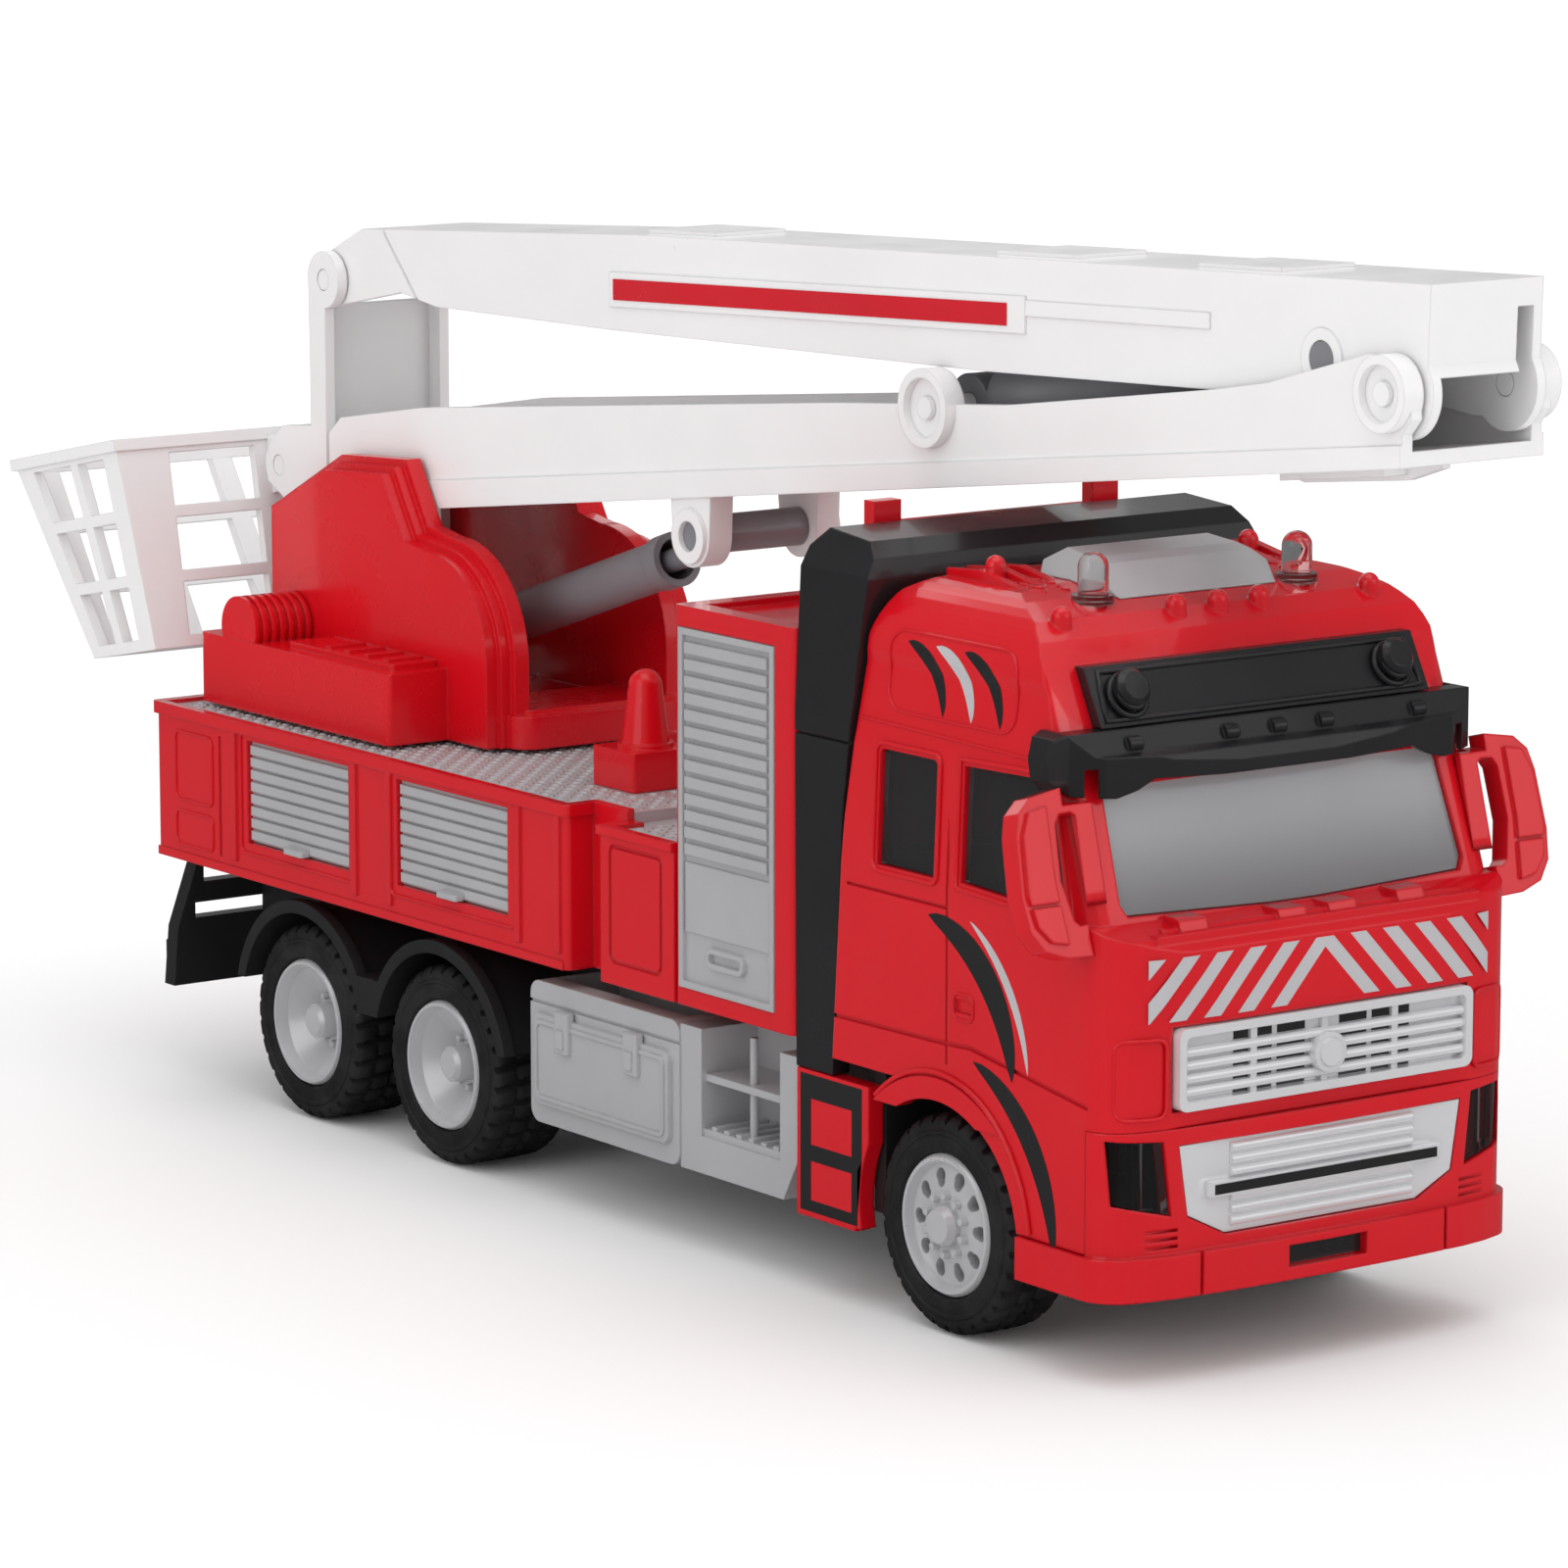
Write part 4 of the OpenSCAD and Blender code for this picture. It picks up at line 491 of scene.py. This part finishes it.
# ------------------------------------------------------------------ tread lozenges, real geometry
def lozenges(name, spots, mat, body):
    verts, faces = [], []
    for (x, y, z), (nx, ny, nz), ang, L, W, H in spots:
        n = Vector((nx, ny, nz)).normalized()
        e = Vector((math.cos(ang), math.sin(ang), 0))
        e = (e - n * e.dot(n)).normalized()
        f = n.cross(e)
        c = Vector((x, y, z))
        b = len(verts)
        for u, v, h in ((-L, 0, -0.05), (-L * 0.5, -W, -0.05), (L * 0.5, -W, -0.05), (L, 0, -0.05), (L * 0.5, W, -0.05), (-L * 0.5, W, -0.05),
                        (-L * 0.6, 0, H), (-L * 0.3, -W * 0.5, H), (L * 0.3, -W * 0.5, H), (L * 0.6, 0, H), (L * 0.3, W * 0.5, H), (-L * 0.3, W * 0.5, H)):
            q = c + e * u + f * v + n * h
            verts.append(P(q.x, q.y, q.z))
        for i in range(6):
            j = (i + 1) % 6
            faces.append((b + i, b + j, b + 6 + j, b + 6 + i))
        faces.append(tuple(b + 6 + i for i in range(6)))
        faces.append(tuple(b + 5 - i for i in range(6)))
    return mesh_obj(name, verts, faces, mat, body)


sp = []
pitch = 1.35


def deck_area(x0, x1, y0, y1, z, skip=None):
    i = 0
    y = y0 + 0.7
    while y < y1 - 0.5:
        j = 0
        x = x0 + 0.7
        while x < x1 - 0.5:
            if not (skip and skip(x, y)):
                sp.append(((x, y, z), (0, 0, 1), math.radians(45 if (i + j) % 2 else -45), 0.62, 0.26, 0.16))
            x += pitch
            j += 1
        y += pitch
        i += 1


hub = lambda x, y: (x * x + (y - 151) ** 2 < 81) or (abs(x) < 15.6 and 97 < y < 105.8)
deck_area(-25.1, 25.1, 95.3, 178.8, 43.95, hub)
deck_area(-21.5, 21.5, 88.9, 95.2, 43.95, hub)
deck_area(-25.1, 25.1, 74.6, 86.1, 42.75)
lozenges("deck_tread", sp, M["silver"], "truck")



# ------------------------------------------------------------------ dark inlays and small raised lines
def front_flat(y):
    return lambda u, v, t: (u, y - t, v)


gaps = []
for z0, z1 in ((28.05, 28.40), (29.40, 29.70), (30.70, 31.00), (32.00, 32.30), (33.30, 34.35)):
    for x0, x1 in ((-11.2, -6.4), (-5.7, -2.2), (2.2, 5.7), (6.4, 11.2)):
        gaps.append([(x0, z0), (x1, z0), (x1, z1), (x0, z1)])
sheet("grille_gaps", gaps, front_flat(0.88), INK_B, "truck", t=0.04)
sheet("lower_grille_slot", [[(-14.2, 18.45), (14.2, 18.45), (14.2, 19.45), (-14.2, 19.45)]], front_flat(-0.26), INK_B, "truck", t=0.05)
sheet("bumper_slot", [[(-4.9, 10.1), (4.9, 10.1), (4.9, 12.1), (-4.9, 12.1)]], front_flat(0.42), INK_B, "truck", t=0.05)


def tube_line(name, pts, r, mat, body, closed=False, n=8):
    """a thin moulded bead along points given in mm"""
    c = bpy.data.curves.new(name, "CURVE")
    c.dimensions = "3D"
    c.bevel_depth = r * MM
    c.bevel_resolution = 3
    sp_ = c.splines.new("POLY")
    sp_.points.add(len(pts) - 1)
    for q, p in zip(sp_.points, pts):
        v = P(*p)
        q.co = (v.x, v.y, v.z, 1)
    sp_.use_cyclic_u = closed
    o = bpy.data.objects.new(name, c)
    scene.collection.objects.link(o)
    dg = bpy.context.evaluated_depsgraph_get()
    me = bpy.data.meshes.new_from_object(o.evaluated_get(dg))
    bpy.data.objects.remove(o)
    for p in me.polygons:
        p.use_smooth = True
    me.materials.clear()
    me.materials.append(mat)
    o = bpy.data.objects.new(name, me)
    scene.collection.objects.link(o)
    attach(o, body)
    return o


def rounded(y0, y1, z0, z1, r, n=5):
    out = []
    for cx_, cy_, a0 in ((y1 - r, z0 + r, -90), (y1 - r, z1 - r, 0), (y0 + r, z1 - r, 90), (y0 + r, z0 + r, 180)):
        for i in range(n + 1):
            a = math.radians(a0 + 90 * i / n)
            out.append((cx_ + r * math.cos(a), cy_ + r * math.sin(a)))
    return out


def dense(pts, step=1.2, closed=True):
    out = []
    m = len(pts) if closed else len(pts) - 1
    for i in range(m):
        a, b = pts[i], pts[(i + 1) % len(pts)]
        d = math.dist(a, b)
        k = max(1, int(d / step))
        for j in range(k):
            out.append((a[0] + (b[0] - a[0]) * j / k, a[1] + (b[1] - a[1]) * j / k))
    if not closed:
        out.append(pts[-1])
    return out


for s, side in ((1, "l"), (-1, "r")):
    def onside(pts, off=0.0):
        return [(s * (side_x(y, z) + off), y, z) for y, z in pts]
    tube_line("roof_panel_line_" + side, onside(dense(rounded(17.8, 38.4, 62.1, 70.2, 2.2)), 0.0), 0.18, M["red"], "truck", True)
    tube_line("rear_window_lip_" + side, onside(dense(rounded(29.0, 39.6, 45.8, 58.7, 1.0)), 0.05), 0.28, M["red"], "truck", True)
    tube_line("door_window_lip_" + side, onside(dense([(7.4, 45.2), (25.8, 46.0), (25.8, 58.8), (11.2, 59.2)]), 0.05), 0.28, M["red"], "truck", True)
    tube_line("belt_line_" + side, onside(dense([(12.6, 60.2), (42.6, 60.8)], closed=False), 0.0), 0.2, M["red"], "truck")
    tube_line("arch_bead_" + side, [(s * 26.12, 28.7 + 15.1 * math.cos(math.radians(a)), 11.25 + 15.1 * math.sin(math.radians(a)) * 1.04) for a in range(48, 176, 4)], 0.3, M["red"], "truck")
    # moulded outlines on the rear body's side
    for k, (a, b, c, d) in enumerate(((104.4, 129.2, 29.3, 43.2), (136.7, 161.0, 29.3, 43.2))):
        tube_line("shutter_frame_%d_%s" % (k, side), [(s * 26.05, y, z) for y, z in rounded(a, b, c, d, 0.8)], 0.22, M["red"], "truck", True)
    for k, (a, b, c, d) in enumerate(((167.4, 175.6, 33.5, 41.5), (167.4, 175.6, 28.2, 32.2))):
        tube_line("locker_line_%d_%s" % (k, side), [(s * 26.02, y, z) for y, z in rounded(a, b, c, d, 0.9)], 0.2, M["red"], "truck", True)
    # handles
    tube_line("door_handle_" + side, [(s * 26.0, y, z) for y, z in rounded(23.0, 26.2, 32.9, 35.5, 0.8)], 0.2, M["red"], "truck", True)

# moulded outline on the corners beside the grille
for s, side in ((1, "l"), (-1, "r")):
    pts = dense(rounded(19.6, 24.6, 26.6, 34.4, 1.0), 0.8)
    tube_line("corner_line_" + side, [(s * x, front_y(x, z) + 0.02, z) for x, z in pts], 0.2, M["red"], "truck", True)

# frame round the black board on the roof and rings round its spotlights
bd = [(-20.0, 64.1), (20.0, 64.1), (19.4, 68.5), (-19.4, 68.5)]
tube_line("board_border", [(x, 9.6 + (z - 63.5) * 0.536 - 0.02, z) for x, z in dense(bd)], 0.3, M["black"], "truck", True)
for s in (1, -1):
    for k, (r, h) in enumerate(((2.15, 0.25), (1.55, 0.95))):
        cpt = Vector((s * 16.8, 10.9 - h * 0.88, 66.3 + h * 0.47 - 0.1))
        u = Vector((1, 0, 0))
        v = Vector((0, 0.47, 0.88))
        tube_line("spot_ring_%d_%s" % (k, "l" if s > 0 else "r"), [tuple(cpt + u * r * math.cos(a) + v * r * math.sin(a)) for a in [2 * math.pi * i / 28 for i in range(28)]], 0.32, M["black"], "truck", True)

# roof: lozenge tread between the ribs
def roof_h(x, y):
    prof = [(18, 73), (22, 74.3), (27, 75.2), (33, 75.6), (38, 75.1), (41, 74)]
    z = prof[-1][1]
    for (a, p), (b, q) in zip(prof, prof[1:]):
        if y <= b:
            z = p + (q - p) * (y - a) / (b - a)
            break
    return min(z, 75.6 - 0.7 * abs(x) / 17.8)


sp = []
for i in range(12):
    for x in (-16.25, -13.75, 13.75, 16.25):
        y = 24.4 + i * 1.2
        if y > 38 or (abs(abs(x) - 13) < 2.3 and y < 24):
            continue
        slope = (roof_h(x, y + 0.3) - roof_h(x, y - 0.3)) / 0.6
        sp.append(((x, y, roof_h(x, y)), (0, -slope, 1), math.radians(45 if (i + (x > 0) + (abs(x) > 15)) % 2 else -45), 0.62, 0.26, 0.2))
if sp:
    lozenges("roof_tread", sp, M["red"], "truck")


# ------------------------------------------------------------------ floor, light, camera
def studio():
    me = bpy.data.meshes.new("floor")
    me.from_pydata([(-6, -6, 0), (6, -6, 0), (6, 6, 0), (-6, 6, 0)], [], [(0, 1, 2, 3)])
    o = bpy.data.objects.new("floor", me)
    scene.collection.objects.link(o)
    g = G("floor_white")
    white = g.mix(g.noise(3, 2), (0.93, 0.93, 0.93, 1), (0.95, 0.95, 0.95, 1))
    glossy = g.n("ShaderNodeLightPath").outputs["Is Glossy Ray"]
    g.link(g.mix(glossy, white, (0.14, 0.14, 0.14, 1)), g.b.inputs["Base Color"])
    g.b.inputs["Roughness"].default_value = 0.9
    g.b.inputs["Specular IOR Level"].default_value = 0.1
    geo = g.n("ShaderNodeNewGeometry")
    far = g.n("ShaderNodeVectorMath")
    far.operation = "LENGTH"
    g.link(geo.outputs["Position"], far.inputs[0])
    g.b.inputs["Emission Color"].default_value = (1, 1, 1, 1)
    g.link(g.math("MULTIPLY", g.ramp(far.outputs["Value"], 0.15, 1.2, 0.0, 0.3), g.math("SUBTRACT", 1.0, glossy)), g.b.inputs["Emission Strength"])
    me.materials.append(g.m)
    w = bpy.data.worlds.new("studio")
    scene.world = w
    w.use_nodes = True
    bg = w.node_tree.nodes["Background"]
    nt = w.node_tree
    lp = nt.nodes.new("ShaderNodeLightPath")

    def ma(src, k, add):
        o = nt.nodes.new("ShaderNodeMath")
        o.operation = "MULTIPLY_ADD"
        nt.links.new(src, o.inputs[0])
        o.inputs[1].default_value = k
        if isinstance(add, float):
            o.inputs[2].default_value = add
        else:
            nt.links.new(add, o.inputs[2])
        return o.outputs[0]

    level = ma(lp.outputs["Is Camera Ray"], 0.16, 0.82)
    level = ma(lp.outputs["Is Glossy Ray"], -0.66, level)
    bg.inputs[0].default_value = (1, 1, 1, 1)
    nt.links.new(level, bg.inputs[1])

    def area(name, loc, size, power, col=(1, 1, 1)):
        d = bpy.data.lights.new(name, "AREA")
        d.shape = "RECTANGLE"
        d.size, d.size_y = size
        d.energy = power
        d.color = col
        lo = bpy.data.objects.new(name, d)
        scene.collection.objects.link(lo)
        lo.location = loc
        lo.rotation_euler = (Vector((0, 0, 0.05)) - Vector(loc)).to_track_quat("-Z", "Y").to_euler()
        return lo

    area("key_top", (-0.10, -0.15, 0.75), (0.7, 0.7), 1.7)
    area("side_left", (-0.75, -0.10, 0.35), (0.45, 0.6), 0.75)
    area("front_right", (0.35, -0.75, 0.30), (0.5, 0.45), 0.6)
    area("back", (0.3, 0.7, 0.5), (0.6, 0.4), 0.8)
    area("strip_left", (-0.62, -0.30, 0.16), (0.03, 0.36), 0.11)
    area("strip_front", (-0.05, -0.80, 0.42), (0.42, 0.03), 0.11)


studio()
AZ, EL, DIST = math.radians(-35.774), math.radians(9.943), 0.72794
T = P(0, 90.85, 44.457)
cam_d = bpy.data.cameras.new("cam")
cam_d.sensor_width = 36
cam_d.lens = 154.5
cam_d.clip_start = 0.01
cam = bpy.data.objects.new("cam", cam_d)
scene.collection.objects.link(cam)
back = Vector((math.sin(AZ) * math.cos(EL), -math.cos(AZ) * math.cos(EL), math.sin(EL)))
cam.location = T + back * DIST
cam.rotation_euler = back.to_track_quat("Z", "Y").to_euler()
scene.camera = cam
scene.view_settings.view_transform = "Standard"
